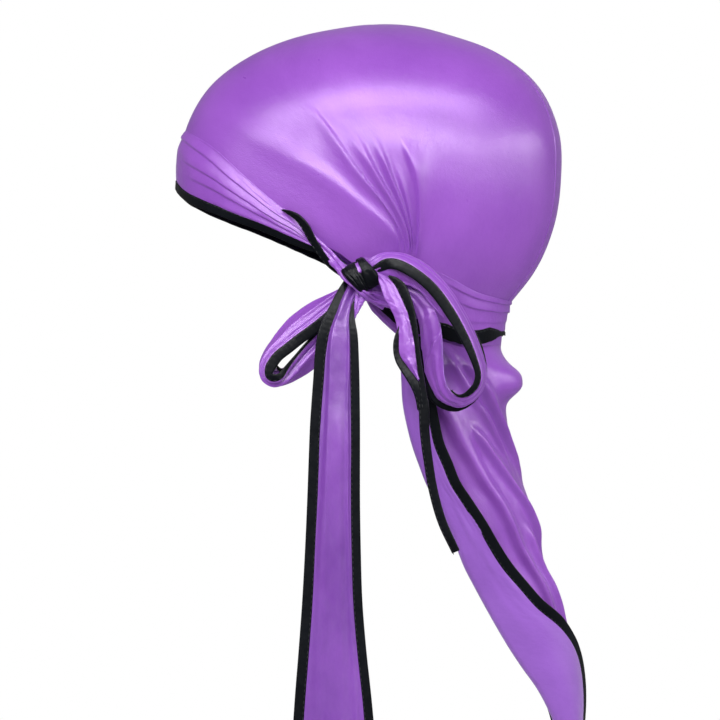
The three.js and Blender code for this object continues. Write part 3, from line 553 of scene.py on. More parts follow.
def from_knot(out, back, up):
    """A place beside the knot: out from the head, back and up."""
    return knot_centre + point(out, back, up)


def on_side(back, up, lift):
    """The place on the head form, lifted off it, that lies behind and above the knot by these heights."""
    place = from_knot(0, back, up) + point(0, 0, head_top)
    for _ in range(40):
        turn = np.degrees(np.arctan2(place[..., 0], -place[..., 1]))
        polar = np.degrees(np.arccos(place[..., 2] / np.linalg.norm(place, axis=-1)))
        radius = head_radius(turn, polar) + lift
        flat = np.sqrt(np.maximum(1, radius**2 - place[..., 1] ** 2 - place[..., 2] ** 2))
        place[..., 0] = mix(place[..., 0], flat, 0.6)
    return place - point(0, 0, head_top)


# Nodes


def add(tree, kind, inputs=None, **settings):
    """A node with its settings and inputs. An input is a value or another node's output."""
    node = tree.nodes.new(kind)
    for name, value in settings.items():
        setattr(node, name, value)
    for name, value in (inputs or {}).items():
        if isinstance(value, bpy.types.NodeSocket):
            tree.links.new(value, node.inputs[name])
        else:
            node.inputs[name].default_value = value
    return node


def node_group(kind, name, inputs, outputs):
    """An empty node group with named inputs and outputs."""
    tree = bpy.data.node_groups.new(name, kind)
    for label, (socket, value) in inputs.items():
        made = tree.interface.new_socket(label, in_out="INPUT", socket_type=socket)
        if value is not None:
            made.default_value = value
    for label, socket in outputs.items():
        tree.interface.new_socket(label, in_out="OUTPUT", socket_type=socket)
    return tree, add(tree, "NodeGroupInput").outputs


def maths(tree, operation, a, b=0.0, c=0.0, clamped=False):
    node = add(tree, "ShaderNodeMath", {0: a, 1: b, 2: c}, operation=operation, use_clamp=clamped)
    return node.outputs[0]


def vector_maths(tree, operation, a, b):
    return add(tree, "ShaderNodeVectorMath", {0: a, 1: b}, operation=operation).outputs[0]


def scaled(tree, vector, scale):
    return add(tree, "ShaderNodeVectorMath", {0: vector, "Scale": scale}, operation="SCALE").outputs[0]


def noise(tree, place, scale, detail, roughness=0.5, distortion=0.0):
    inputs = {"Vector": place, "Scale": scale, "Detail": detail, "Roughness": roughness}
    return add(tree, "ShaderNodeTexNoise", {**inputs, "Distortion": distortion}).outputs["Fac"]


def ranged(tree, value, low, high, to_low, to_high):
    """A value carried from one range to another."""
    inputs = {"Value": value, "From Min": low, "From Max": high, "To Min": to_low, "To Max": to_high}
    return add(tree, "ShaderNodeMapRange", inputs).outputs[0]


# Materials

thread_stretch = (1, 0.7, 1)
slub_scale = 700.0
slub_share = 0.5
# Share of the painted thread glint in each cloth's colour
painted_glint_share = 0.3
drift_scale = 26.0
crease_scale = 240.0


def satin_weave_group():
    """Long floating threads of satin: a height, and how far each thread catches the light."""
    tree, given = node_group(
        "ShaderNodeTree",
        "satin weave",
        {"Cloth place": ("NodeSocketVector", None), "Threads per metre": ("NodeSocketFloat", 3000)},
        {"Height": "NodeSocketFloat", "Glint": "NodeSocketFloat"},
    )
    stretched = vector_maths(tree, "MULTIPLY", given["Cloth place"], thread_stretch)
    threads = noise(tree, scaled(tree, stretched, given["Threads per metre"]), 1.0, 1.0)
    slubs = noise(tree, stretched, slub_scale, 2.0, 0.6)
    height = maths(tree, "MULTIPLY_ADD", slubs, slub_share, maths(tree, "MULTIPLY", threads, 1 - slub_share))
    add(tree, "NodeGroupOutput", {"Height": height, "Glint": slubs})
    return tree


def cloth_drift_group():
    """Slow changes of colour and gloss over a cloth, from handling and from the dye, with painted glints of
    single threads mixed into its colour.
    """
    tree, given = node_group(
        "ShaderNodeTree",
        "cloth drift",
        {
            "Cloth place": ("NodeSocketVector", None),
            "Deep": ("NodeSocketColor", (0, 0, 0, 1)),
            "Pale": ("NodeSocketColor", (1, 1, 1, 1)),
            "Smoothest": ("NodeSocketFloat", 0.3),
            "Roughest": ("NodeSocketFloat", 0.5),
            "Glint": ("NodeSocketFloat", 0.5),
        },
        {"Colour": "NodeSocketColor", "Roughness": "NodeSocketFloat", "Creases": "NodeSocketFloat"},
    )
    broad = noise(tree, given["Cloth place"], drift_scale, 3.0, 0.55)
    fine = noise(tree, given["Cloth place"], crease_scale, 3.0, 0.6, 0.4)
    shade = ranged(tree, broad, 0.3, 0.7, 0.1, 0.7)
    # Painted glint: the light that each thread catches is mixed into the colour, lighter or darker than the
    # dye
    glint = maths(tree, "SUBTRACT", given["Glint"], 0.5)
    share = maths(tree, "MULTIPLY_ADD", glint, painted_glint_share, shade, clamped=True)
    blend = {"Factor": share, 6: given["Deep"], 7: given["Pale"]}
    colour = add(tree, "ShaderNodeMix", blend, data_type="RGBA").outputs[2]
    rough = ranged(tree, fine, 0.25, 0.75, given["Smoothest"], given["Roughest"])
    add(tree, "NodeGroupOutput", {"Colour": colour, "Roughness": rough, "Creases": fine})
    return tree


satin_weave = satin_weave_group()
cloth_drift = cloth_drift_group()


def cloth_material(name, deep, pale, smoothest, roughest, threads, weave_depth, crease_depth, **constants):
    """A cloth from the shared groups. Constants go straight onto the shader's own sockets."""
    material = bpy.data.materials.new(name)
    material.use_nodes = True
    tree = material.node_tree
    tree.nodes.clear()
    place = add(tree, "ShaderNodeUVMap", uv_map="cloth").outputs["UV"]
    threaded = {"Cloth place": place, "Threads per metre": threads}
    weave = add(tree, "ShaderNodeGroup", threaded, node_tree=satin_weave).outputs
    dyed = {"Cloth place": place, "Glint": weave["Glint"], "Deep": (*deep, 1), "Pale": (*pale, 1)}
    gloss = {"Smoothest": smoothest, "Roughest": roughest}
    drift = add(tree, "ShaderNodeGroup", {**dyed, **gloss}, node_tree=cloth_drift).outputs

    def raised(height, depth, **under):
        inputs = {"Height": height, "Strength": 1.0, "Distance": depth, **under}
        return add(tree, "ShaderNodeBump", inputs).outputs[0]

    relief = raised(weave["Height"], weave_depth, Normal=raised(drift["Creases"], crease_depth))
    looks = {"Base Color": drift["Colour"], "Roughness": drift["Roughness"], "Normal": relief}
    shader = add(tree, "ShaderNodeBsdfPrincipled", {**looks, **constants})
    if constants.get("Anisotropic"):
        grain = add(tree, "ShaderNodeTangent", direction_type="UV_MAP", uv_map="cloth")
        tree.links.new(grain.outputs[0], shader.inputs["Tangent"])
    add(tree, "ShaderNodeOutputMaterial", {"Surface": shader.outputs[0]})
    return material


satin = cloth_material(
    "purple_satin",
    deep=(0.2, 0.052, 0.375),
    pale=(0.3, 0.095, 0.51),
    smoothest=0.27,
    roughest=0.36,
    threads=3600,
    weave_depth=0.00017,
    crease_depth=0.00006,
    **{
        "Anisotropic": 0.5,
        "Anisotropic Rotation": 0.25,
        "Sheen Weight": 0.08,
        "Sheen Roughness": 0.35,
        "Specular IOR Level": 0.74,
        "Specular Tint": (0.95, 0.8, 1, 1),
    },
)
# A darker copy of the purple satin for the long tie end: its deeper colour is painted shade. It is also
# rougher, with less sheen and no anisotropy.
painted_shade_satin = cloth_material(
    "purple_satin_painted_shade",
    deep=(0.115, 0.024, 0.25),
    pale=(0.215, 0.058, 0.4),
    smoothest=0.34,
    roughest=0.44,
    threads=3600,
    weave_depth=0.00012,
    crease_depth=0.00008,
    **{
        "Sheen Weight": 0.05,
        "Sheen Roughness": 0.4,
        "Specular IOR Level": 0.9,
        "Specular Tint": (0.95, 0.8, 1, 1),
    },
)
satin_back = cloth_material(
    "purple_satin_wrong_side",
    deep=(0.175, 0.046, 0.35),
    pale=(0.26, 0.085, 0.49),
    smoothest=0.42,
    roughest=0.56,
    threads=2400,
    weave_depth=0.00006,
    crease_depth=0.0002,
    **{"Sheen Weight": 0.3, "Sheen Roughness": 0.5, "Specular IOR Level": 0.5},
)
binding_cloth = cloth_material(
    "black_satin_binding",
    deep=(0.0014, 0.0018, 0.003),
    pale=(0.0045, 0.0058, 0.0085),
    smoothest=0.27,
    roughest=0.38,
    threads=2600,
    weave_depth=0.00004,
    crease_depth=0.00012,
    **{"Anisotropic": 0.5, "Anisotropic Rotation": 0.25, "Sheen Weight": 0.01, "Specular IOR Level": 0.12},
)
binding_thread = cloth_material(
    "binding_thread",
    deep=(0.004, 0.005, 0.007),
    pale=(0.014, 0.016, 0.02),
    smoothest=0.4,
    roughest=0.6,
    threads=6000,
    weave_depth=0.00003,
    crease_depth=0.00005,
    **{"Sheen Weight": 0.05, "Specular IOR Level": 0.4},
)


# Cloth meshes


def grid_normals(face, wraps):
    """Normals of a grid of points, from its neighbours along and across."""
    along = np.gradient(face, axis=0)
    across = np.roll(face, -1, 1) - np.roll(face, 1, 1) if wraps else np.gradient(face, axis=1)
    return unit(np.cross(along, across))


def check_outward(mesh):
    """Turns a mesh's faces outwards where its volume says that they point in."""
    mesh.calc_loop_triangles()
    corners = np.zeros(len(mesh.loop_triangles) * 3, np.int32)
    mesh.loop_triangles.foreach_get("vertices", corners)
    points = np.zeros(len(mesh.vertices) * 3)
    mesh.vertices.foreach_get("co", points)
    a, b, c = np.moveaxis(points.reshape(-1, 3)[corners.reshape(-1, 3)], 1, 0)
    if (a * np.cross(b, c)).sum() < 0:
        mesh.flip_normals()


def in_scene(name, data):
    """An object at the origin, in the scene's own collection."""
    made = bpy.data.objects.new(name, data)
    bpy.context.scene.collection.objects.link(made)
    return made


def add_mesh(name, points, faces, materials, which, place):
    """A smooth mesh piece without the points that no face uses. Which holds each face's material, and place
    each point's place on the cloth."""
    used = np.zeros(len(points), bool)
    used[faces.ravel()] = True
    renumbered = (np.cumsum(used) - 1)[faces].tolist()
    mesh = bpy.data.meshes.new(name)
    mesh.from_pydata((points[used] / 1000).tolist(), [], [list(dict.fromkeys(f)) for f in renumbered])
    for material in materials:
        mesh.materials.append(material)
    mesh.polygons.foreach_set("material_index", which.astype(np.int32))
    layer = mesh.uv_layers.new(name="cloth")
    corners = np.zeros(len(mesh.loops), np.int32)
    mesh.loops.foreach_get("vertex_index", corners)
    layer.data.foreach_set("uv", (place[used][corners] / 1000).astype(np.float32).ravel())
    mesh.shade_smooth()
    mesh.update()
    piece = in_scene(name, mesh)
    check_outward(mesh)
    return piece


def sheet_mesh(name, face, place, toward, thick=cloth_thick, wraps=False, pole=False):
    """A closed thin cloth. Face is a grid of points on its good side, which faces toward a direction, and
    place is the cloth's own coordinates."""
    rows, columns = face.shape[:2]
    normals = grid_normals(face, wraps)
    away = 1 if (normals * toward).sum() > 0 else -1
    normals = normals * away
    if pole:
        normals[0] = unit(normals[1].mean(0))
    both = [face, face - normals * thick]
    index = np.arange(2 * rows * columns).reshape(2, rows, columns)
    if pole:
        index[:, 0] = index[:, 0, :1]
    if wraps:
        index = np.concatenate([index, index[:, :, :1]], 2)

    def quads(a, b, c, d):
        return np.stack([a.ravel(), b.ravel(), c.ravel(), d.ravel()], 1)

    def grid_quads(side):
        i = index[side]
        return quads(i[:-1, :-1], i[1:, :-1], i[1:, 1:], i[:-1, 1:])

    good, wrong = grid_quads(0), grid_quads(1)[:, ::-1]
    top, low = index[:, 0], index[:, -1]
    rims = [quads(low[0, :-1], low[1, :-1], low[1, 1:], low[0, 1:])]
    if not pole:
        rims.append(quads(top[0, 1:], top[1, 1:], top[1, :-1], top[0, :-1]))
    if not wraps:
        left, right = index[:, :, 0], index[:, :, -1]
        rims.append(quads(left[0, :-1], left[1, :-1], left[1, 1:], left[0, 1:]))
        rims.append(quads(right[0, 1:], right[1, 1:], right[1, :-1], right[0, :-1]))
    rim = np.concatenate(rims)
    faces = np.concatenate([good, wrong, rim])
    if away > 0:
        faces = faces[:, ::-1]
    which = np.concatenate([np.zeros(len(good)), np.ones(len(wrong)), np.zeros(len(rim))])
    points = np.concatenate([side.reshape(-1, 3) for side in both])
    places = np.concatenate([place.reshape(-1, 2)] * 2)
    return add_mesh(name, points, faces, (satin, satin_back), which, places)


# Bound edges: a tape folded over the cloth's edge, swept along a path by nodes


def path_mesh(name, lines):
    """Lines of stations {at, across, facing, breadth} as one mesh of edges, for the node trees."""
    mesh = bpy.data.meshes.new(name)
    points = np.concatenate([line["at"] for line in lines])
    counts = [len(line["at"]) for line in lines]
    starts = np.cumsum([0, *counts[:-1]])
    edges = [(s + i, s + i + 1) for s, n in zip(starts, counts) for i in range(n - 1)]
    mesh.from_pydata((points / 1000).tolist(), [(int(a), int(b)) for a, b in edges], [])
    for label, kind, key in (
        ("across", "FLOAT_VECTOR", "vector"),
        ("facing", "FLOAT_VECTOR", "vector"),
        ("breadth", "FLOAT", "value"),
    ):
        values = np.concatenate([line[label] for line in lines]).astype(np.float32)
        mesh.attributes.new(label, kind, "POINT").data.foreach_set(key, values.ravel())
    return in_scene(name, mesh)


def attribute(tree, name, kind):
    return add(tree, "GeometryNodeInputNamedAttribute", {"Name": name}, data_type=kind).outputs["Attribute"]


def kept(tree, geometry, value, kind):
    """A value caught on the geometry's points, so that later nodes can read it."""
    node = add(tree, "GeometryNodeCaptureAttribute", {"Geometry": geometry})
    node.capture_items.new(kind, "Kept")
    tree.links.new(value, node.inputs["Kept"])
    return node.outputs["Geometry"], node.outputs["Kept"]


def end_in_cloth(tree, geometry, place, cloth):
    """Ends a tree: its mesh is made real, smooth and of one cloth, with each corner's place on it."""
    real = add(tree, "GeometryNodeRealizeInstances", {"Geometry": geometry}).outputs[0]
    stored = add(
        tree,
        "GeometryNodeStoreNamedAttribute",
        {"Geometry": real, "Name": "cloth", "Value": place},
        data_type="FLOAT2",
        domain="CORNER",
    ).outputs[0]
    rounded = add(tree, "GeometryNodeSetShadeSmooth", {"Geometry": stored}).outputs[0]
    covered = add(tree, "GeometryNodeSetMaterial", {"Geometry": rounded, "Material": cloth}).outputs[0]
    add(tree, "NodeGroupOutput", {"Geometry": covered})
    return tree


def bound_edge_tree():
    tree, given = node_group(
        "GeometryNodeTree",
        "bound edge",
        {
            "Geometry": ("NodeSocketGeometry", None),
            "Tape width": ("NodeSocketFloat", 0.0056),
            "Tape thickness": ("NodeSocketFloat", 0.0019),
            "Lip share": ("NodeSocketFloat", 0.5),
            "Squareness": ("NodeSocketFloat", 0.45),
            "Pucker depth": ("NodeSocketFloat", 0.00004),
            "Pucker pitch": ("NodeSocketFloat", 0.0028),
            "Rumple scale": ("NodeSocketFloat", 140.0),
            "Sides": ("NodeSocketInt", 20),
            "Tape cloth": ("NodeSocketMaterial", None),
        },
        {"Geometry": "NodeSocketGeometry"},
    )
    line = add(tree, "GeometryNodeMeshToCurve", {"Mesh": given["Geometry"]}).outputs[0]
    line, centre = kept(tree, line, add(tree, "GeometryNodeInputPosition").outputs[0], "VECTOR")
    along = add(tree, "GeometryNodeSplineParameter").outputs["Length"]
    line, along = kept(tree, line, along, "FLOAT")
    round_tape = {"Radius": 1.0, "Resolution": given["Sides"]}
    circle = add(tree, "GeometryNodeCurvePrimitiveCircle", round_tape, mode="RADIUS").outputs[0]
    ring, section = kept(tree, circle, add(tree, "GeometryNodeInputPosition").outputs[0], "VECTOR")
    swept = add(tree, "GeometryNodeCurveToMesh", {"Curve": line, "Profile Curve": ring, "Fill Caps": True})
    parts = add(tree, "ShaderNodeSeparateXYZ", {0: section}).outputs

    def squared(value):
        size = maths(tree, "POWER", maths(tree, "ABSOLUTE", value), given["Squareness"])
        return maths(tree, "MULTIPLY", size, maths(tree, "SIGN", value))

    aside, above = squared(parts["X"]), squared(parts["Y"])
    half = maths(tree, "MULTIPLY", given["Tape width"], 0.5)
    breadth = attribute(tree, "breadth", "FLOAT")
    aside = maths(tree, "MULTIPLY", maths(tree, "MULTIPLY", aside, half), breadth)
    lip = ranged(tree, maths(tree, "DIVIDE", aside, half), -1.0, 1.0, given["Lip share"], 1.0)
    above = maths(tree, "MULTIPLY", above, lip)
    waves = maths(tree, "DIVIDE", maths(tree, "MULTIPLY", along, math.tau), given["Pucker pitch"])
    place = add(tree, "ShaderNodeCombineXYZ", {0: along, 1: aside}).outputs[0]
    rumple = noise(tree, place, given["Rumple scale"], 2.0)
    pucker = maths(tree, "MULTIPLY_ADD", maths(tree, "SINE", waves), 0.5, rumple)
    rise = maths(tree, "MULTIPLY", maths(tree, "MULTIPLY", given["Tape thickness"], 0.5), above)
    rise = maths(tree, "MULTIPLY_ADD", above, maths(tree, "MULTIPLY", pucker, given["Pucker depth"]), rise)
    sideways = scaled(tree, attribute(tree, "across", "FLOAT_VECTOR"), aside)
    outwards = scaled(tree, attribute(tree, "facing", "FLOAT_VECTOR"), rise)
    spot = vector_maths(tree, "ADD", centre, vector_maths(tree, "ADD", sideways, outwards))
    moved = {"Geometry": swept.outputs[0], "Position": spot}
    shaped = add(tree, "GeometryNodeSetPosition", moved).outputs[0]
    cloth_place = add(tree, "ShaderNodeCombineXYZ", {0: aside, 1: along}).outputs[0]
    return end_in_cloth(tree, shaped, cloth_place, given["Tape cloth"])


def stitches_tree():
    tree, given = node_group(
        "GeometryNodeTree",
        "binding stitches",
        {
            "Geometry": ("NodeSocketGeometry", None),
            "Stitch pitch": ("NodeSocketFloat", 0.0028),
            "Stitch length": ("NodeSocketFloat", 0.0019),
            "Thread thickness": ("NodeSocketFloat", 0.00036),
            "Unevenness": ("NodeSocketFloat", 0.12),
            "Seed": ("NodeSocketInt", 7),
            "Thread": ("NodeSocketMaterial", None),
        },
        {"Geometry": "NodeSocketGeometry"},
    )
    line = add(tree, "GeometryNodeMeshToCurve", {"Mesh": given["Geometry"]}).outputs[0]
    pitch = {"Curve": line, "Length": given["Stitch pitch"]}
    spaced = add(tree, "GeometryNodeResampleCurve", pitch, mode="LENGTH").outputs[0]
    heading = add(tree, "GeometryNodeInputTangent").outputs[0]
    turned = add(tree, "FunctionNodeAlignRotationToVector", {"Vector": heading}, axis="Z").outputs[0]
    bead = {"Segments": 6, "Rings": 5, "Radius": 0.5}
    stitch = add(tree, "GeometryNodeMeshUVSphere", bead).outputs["Mesh"]
    thick, long = given["Thread thickness"], given["Stitch length"]
    size = add(tree, "ShaderNodeCombineXYZ", {0: thick, 1: thick, 2: long}).outputs[0]
    least = maths(tree, "SUBTRACT", 1.0, given["Unevenness"])
    limits = {2: least, 3: 1.0, "Seed": given["Seed"]}
    vary = add(tree, "FunctionNodeRandomValue", limits, data_type="FLOAT").outputs[1]
    each = {"Points": spaced, "Instance": stitch, "Rotation": turned, "Scale": scaled(tree, size, vary)}
    placed = add(tree, "GeometryNodeInstanceOnPoints", each).outputs[0]
    spot = add(tree, "GeometryNodeInputPosition").outputs[0]
    return end_in_cloth(tree, placed, spot, given["Thread"])


bound_edge = bound_edge_tree()
binding_stitches = stitches_tree()


def grown(piece, tree, sizes):
    """Turns a path into a plain mesh with a node tree, whose inputs are set by their identifiers."""
    modifier = piece.modifiers.new(tree.name, "NODES")
    modifier.node_group = tree
    sockets = {s.name: s.identifier for s in tree.interface.items_tree if s.in_out == "INPUT"}
    for name, value in sizes.items():
        modifier[sockets[name]] = value
    made = bpy.data.meshes.new_from_object(piece.evaluated_get(bpy.context.evaluated_depsgraph_get()))
    piece.modifiers.clear()
    piece.data = made
    for spare in ("across", "facing", "breadth"):
        if spare in made.attributes:
            made.attributes.remove(made.attributes[spare])
    check_outward(made)
    return piece


tape_lip = 0.5
stitch_inset = 0.13
stitch_lines = []


def bind(name, line, width=binding_width, thick=binding_thick, stitched=(1, 1)):
    """A bound edge along a line of stations. Across points to its outer edge, and facing away from the
    wearer. Stitched says which of its two faces show their stitches."""
    line = {"breadth": np.ones(len(line["at"])), **line}
    sizes = {"Tape width": width / 1000, "Tape thickness": thick / 1000, "Lip share": tape_lip}
    piece = grown(path_mesh(name, [line]), bound_edge, {**sizes, "Tape cloth": binding_cloth})
    inset = (stitch_inset - 0.5) * width * line["breadth"][:, None] * line["across"]
    for side, shown in zip((1, -1), stitched):
        if shown:
            rise = side * thick * 0.5 * mix(tape_lip, 1, stitch_inset) * line["facing"]
            stitch_lines.append({**line, "at": line["at"] + inset + rise})
    return piece


def heading_of(at):
    return unit(np.gradient(at, axis=0))


def tape_ways(line):
    """The ways across a line of tape and out from the wearer's left side, at each of its stations."""
    heading = heading_of(line)
    across = unit(np.cross(leftwards, heading))
    facing = np.cross(heading, across)
    return across, unit(facing * np.sign(facing[:, :1]))


# Crown: one stretched dome, drawn down and back into the root of each strap

gather_turn = 108
gather_pull = 0.9
gather_full = 42
gather_last = 150
gather_end = 0.92
gather_fade = 0.06
drawn_from = 0.28
drawn_to = 0.93
folds_from = 0.6
folds_run = 0.28
folded_turns = (30, 118)
plain_step = 1.3
near_step = 0.52
far_step = 0.9
crown_rings = 100
crown_cloth_run = 118
seam_back = 167.0
seam_front = -13.0
seam_depth = 0.3
seam_half_width = 0.55
seam_lip_place = 1.3
seam_lip_width = 0.9


def drawn_share(down):
    return smooth(drawn_from, drawn_to, down) * gather_pull


def drawn_turn(cloth_turn, down):
    turn = np.abs(cloth_turn)
    before, behind = smooth(0, gather_full, turn), 1 - smooth(gather_turn, gather_last, turn)
    caught = np.where(turn < gather_turn, before, behind)
    return np.sign(cloth_turn) * (turn + (gather_turn - turn) * caught * drawn_share(down))


def gather_lift(cloth_turn, down):
    turn = np.abs(cloth_turn)
    ends = 1 - smooth(gather_end - gather_fade, gather_end, down)
    run = (down - folds_from) / folds_run
    lifts = []
    for k, (high, middle, low, before, behind, height, start) in enumerate(zip(*crown_folds.values())):
        passed = {"at": np.array([0, 0.5, 1]), "turn": np.array([high, middle, low])}
        centre = read(passed, "at", "turn", run)
        centre = centre + unevenness(down * 7, k, 3) * 0.5
        shown = smooth(start, start + 0.1, down)
        lifts.append(height * fold(turn, centre, before, behind) * shown)
    return gather_height * np.max(lifts, 0) * (1 - drawn_share(down)) ** 0.4 * ends


def crown_turns():
    """Cloth turns of the dome's columns, close together at the folds and at the seam."""
    first, last = folded_turns
    front, back = np.arange(0, first, plain_step), np.arange(last, 180, plain_step)
    near = np.concatenate([front, np.arange(first, last, near_step), back])
    far = -np.concatenate([front[1:], np.arange(first, last, far_step), back])[::-1]
    beside = np.array([-1.0, -0.55, -0.25, 0, 0.25, 0.55, 1.0])
    turns = np.concatenate([near, [180], far, seam_front + beside, seam_back + beside])
    return np.unique(np.round(turns, 3))


def crown_face():
    """The dome's outer face, and its places on the cloth."""
    down = 1 - (1 - np.linspace(0, 1, crown_rings + 1)) ** 1.2
    cloth_turn, down = np.meshgrid(crown_turns(), down)
    turn = drawn_turn(cloth_turn, down)
    polar = down * read(crown_hem, "turn", "polar", np.abs(turn))
    away = np.minimum(np.abs(cloth_turn - seam_back), np.abs(cloth_turn - seam_front))
    off_seam = np.radians(away) * head_radius(turn, polar) * np.sin(np.radians(polar))
    lips, dip = bump(off_seam, seam_lip_place, seam_lip_width), bump(off_seam, 0, seam_half_width)
    waves = 0.12 * unevenness(cloth_turn / 14, down * 6, 5) + 0.03 * unevenness(cloth_turn / 5, down * 12, 6)
    seam = seam_depth * (0.5 * lips - dip)
    lift = gather_lift(cloth_turn, down) + cloth_wall + seam + waves * smooth(0.03, 0.4, down)
    face = on_head(turn, polar, lift)
    face[0] = face[0].mean(0)
    reach, way = down * crown_cloth_run, np.radians(cloth_turn)
    return face, np.stack([reach * np.sin(way), -reach * np.cos(way)], -1)


crown_grid, crown_place = crown_face()
head_middle = point(0, 0, -head_top)
crown = sheet_mesh("crown_cloth", crown_grid, crown_place, crown_grid - head_middle, wraps=True, pole=True)


# Straps round the head

brow_climb_from = -84
brow_climb_to = -106
brow_end_sink = 0.75
strap_rolled_share = 0.05
strap_tucked_share = 0.12
strap_cloth_radius = 82
strap_cloth_per_degree = 1.45


def brow_lift(turn):
    lift = mix(over_crown, over_nape_band, 1 - smooth(brow_climb_to, brow_climb_from, turn))
    return mix(lift, over_crown - brow_end_sink, smooth(-150, -164, turn))


def nape_lift(turn):
    return np.full_like(turn, over_crown)


def span(length, turn, polar):
    """Polar angle that a length across the head's surface spans."""
    return np.degrees(length / head_radius(turn, polar))


def strap(name, edges, pleats, lift, thick, height, rows, columns, seed):
    """A strap whose pleats run towards the knot, with its upper edge rolled under."""
    turn, across = np.meshgrid(
        np.linspace(edges["turn"][0], edges["turn"][-1], rows),
        np.linspace(0, 1, columns),
        indexing="ij",
    )
    low = read(edges, "turn", "low", turn)
    bound = low - span(binding_width * 0.6, turn, low)
    polar = mix(bound, read(edges, "turn", "top", turn), across)
    around = np.abs(turn)
    folds = 0
    for k, (front, knot, below, above, rise, enter, leave) in enumerate(zip(*pleats.values())):
        at = mix(front, knot, smooth(0, 80, around)) + 0.03 * unevenness(turn / 16, k, seed)
        shown = smooth(enter, enter + 14, around) * (1 - smooth(leave - 12, leave, around))
        folds = folds + rise * fold(across, at, below, above) * shown
    folds = folds + 0.1 * unevenness(turn / 7, across * 4, seed + 1)
    folds = folds + 0.05 * unevenness(turn / 2.4, across * 6, seed + 2)
    past = np.clip(across - (1 - strap_rolled_share), 0, 1) / strap_rolled_share
    roll = np.sqrt(np.clip(1 - past**2, 0, 1))
    under = np.clip(strap_tucked_share - across, 0, 1) / strap_tucked_share
    full = mix(-0.6, thick * 0.9, smooth(0, 0.4, 1 - across)) + height * folds
    raised = mix(cloth_wall + 0.1 - lift(turn), full, roll)
    raised = mix(raised, binding_thick * 0.5, under**2)
    face = on_head(turn, polar, lift(turn) + raised)
    place = np.stack([np.radians(turn) * strap_cloth_radius, (polar - 90) * strap_cloth_per_degree], -1)
    return sheet_mesh(name, face, place, face - head_middle)


def strap_binding(name, edges, lift, first, last, breadth):
    turn = np.linspace(first, last, 300)
    low = read(edges, "turn", "low", turn)
    polar = low - span(binding_width / 2, turn, low) + 0.12 * unevenness(turn / 3, 0.3, 21)
    middle = lift(turn) + binding_thick / 2
    across = unit(on_head(turn, polar + 1, middle) - on_head(turn, polar - 1, middle))
    line = {
        "at": on_head(turn, polar, middle),
        "across": across,
        "facing": head_direction(turn, polar),
        "breadth": breadth(turn),
    }
    return bind(name, line, stitched=(1, 0))


def brow_breadth(turn):
    return mix(0.85, 0.45, smooth(55, 80, turn)) * mix(1.1, 1, smooth(10, 40, np.abs(turn)))


def nape_breadth(turn):
    leaf = mix(0.8, 1.4, smooth(95, 112, turn)) - 1.05 * smooth(151, 168, turn)
    return leaf + 0.5 * smooth(186, 205, turn)


# The strap's upper edge ends where its binding turns up over it
brow_shown = {name: column.copy() for name, column in brow_band_edges.items()}
brow_shown["top"][-4:] = 101.5, 105.4, 120.2, 127
brow_shown["turn"][-4:] = 54, 60, 73, 80
brow_shown["low"][-4:] = read(brow_band_edges, "turn", "low", brow_shown["turn"][-4:])

brow_band = strap(
    "brow_strap", brow_shown, brow_pleats, brow_lift, brow_band_thick, brow_pleat_height, 360, 64, 31
)
brow_binding = strap_binding("brow_strap_binding", brow_band_edges, brow_lift, -164, 82, brow_breadth)
nape_band = strap(
    "nape_strap", nape_band_edges, nape_pleats, nape_lift, nape_band_thick, nape_pleat_height, 300, 60, 41
)
nape_binding = strap_binding("nape_strap_binding", nape_band_edges, nape_lift, 86, 252, nape_breadth)

temple_at = np.linspace(0, 1, 110)
temple_back, temple_up, temple_width = read_each(temple_binding_path, temple_at)
temple_lift = mix(over_crown + 1.2, over_brow_band + 0.6, smooth(0, 0.3, temple_at))
temple_line = on_side(temple_back, temple_up, temple_lift)
temple_facing = unit(temple_line - head_middle)
temple_across = unit(np.cross(temple_facing, heading_of(temple_line)))
temple_twist = np.radians(35 * np.sin(np.pi * smooth(0.05, 0.95, temple_at)))[:, None]
temple_binding = bind(
    "temple_binding_tape",
    {
        "at": temple_line,
        "across": temple_across * np.cos(temple_twist) - temple_facing * np.sin(temple_twist) * 0.4,
        "facing": temple_facing * np.cos(temple_twist) + temple_across * np.sin(temple_twist) * 0.4,
        "breadth": temple_width / temple_tape_width,
    },
    width=temple_tape_width,
    stitched=(1, 0),
)


# Ribbons of satin between two edges, by their places behind and above the knot


def soften(grid, times, axis=1):
    """Rounds the corners of a grid of points along one axis, with its ends kept."""
    grid = np.moveaxis(grid.copy(), axis, 0)
    for _ in range(times):
        grid[1:-1] = (grid[:-2] + 2 * grid[1:-1] + grid[2:]) / 4
    return np.moveaxis(grid, 0, axis)


def creased(face, toward, folds, seed, rumple=0.18, pace=20):
    """A ribbon's face with folds along it, each of {at, before, behind, height, lean, first, last} or only
    the first four, and fine rumples."""
    rows, columns = face.shape[:2]
    folds = [each if len(each) > 4 else (*each, 0, -1, 2) for each in folds]
    along = np.linspace(0, 1, rows)[:, None] + np.zeros((1, columns))
    across = np.linspace(0, 1, columns)[None] + np.zeros((rows, 1))
    normals = grid_normals(face, False)
    normals = normals * (1 if (normals * toward).sum() > 0 else -1)
    relief = 0
    for k, (at, before, behind, height, lean, first, last) in enumerate(folds):
        centre = at + lean * (along - (first + last) / 2) + 0.05 * unevenness(along * 6, k, seed)
        ends = smooth(first, first + 0.015, along) * (1 - smooth(last - 0.015, last, along))
        relief = relief + height * fold(across, centre, before, behind) * ends
    relief = relief + rumple * unevenness(along * pace, across * 3, seed + 1)
    relief = relief + rumple * 0.5 * unevenness(along * pace * 2.6, across * 6, seed + 2)
    return face + normals * relief[..., None]


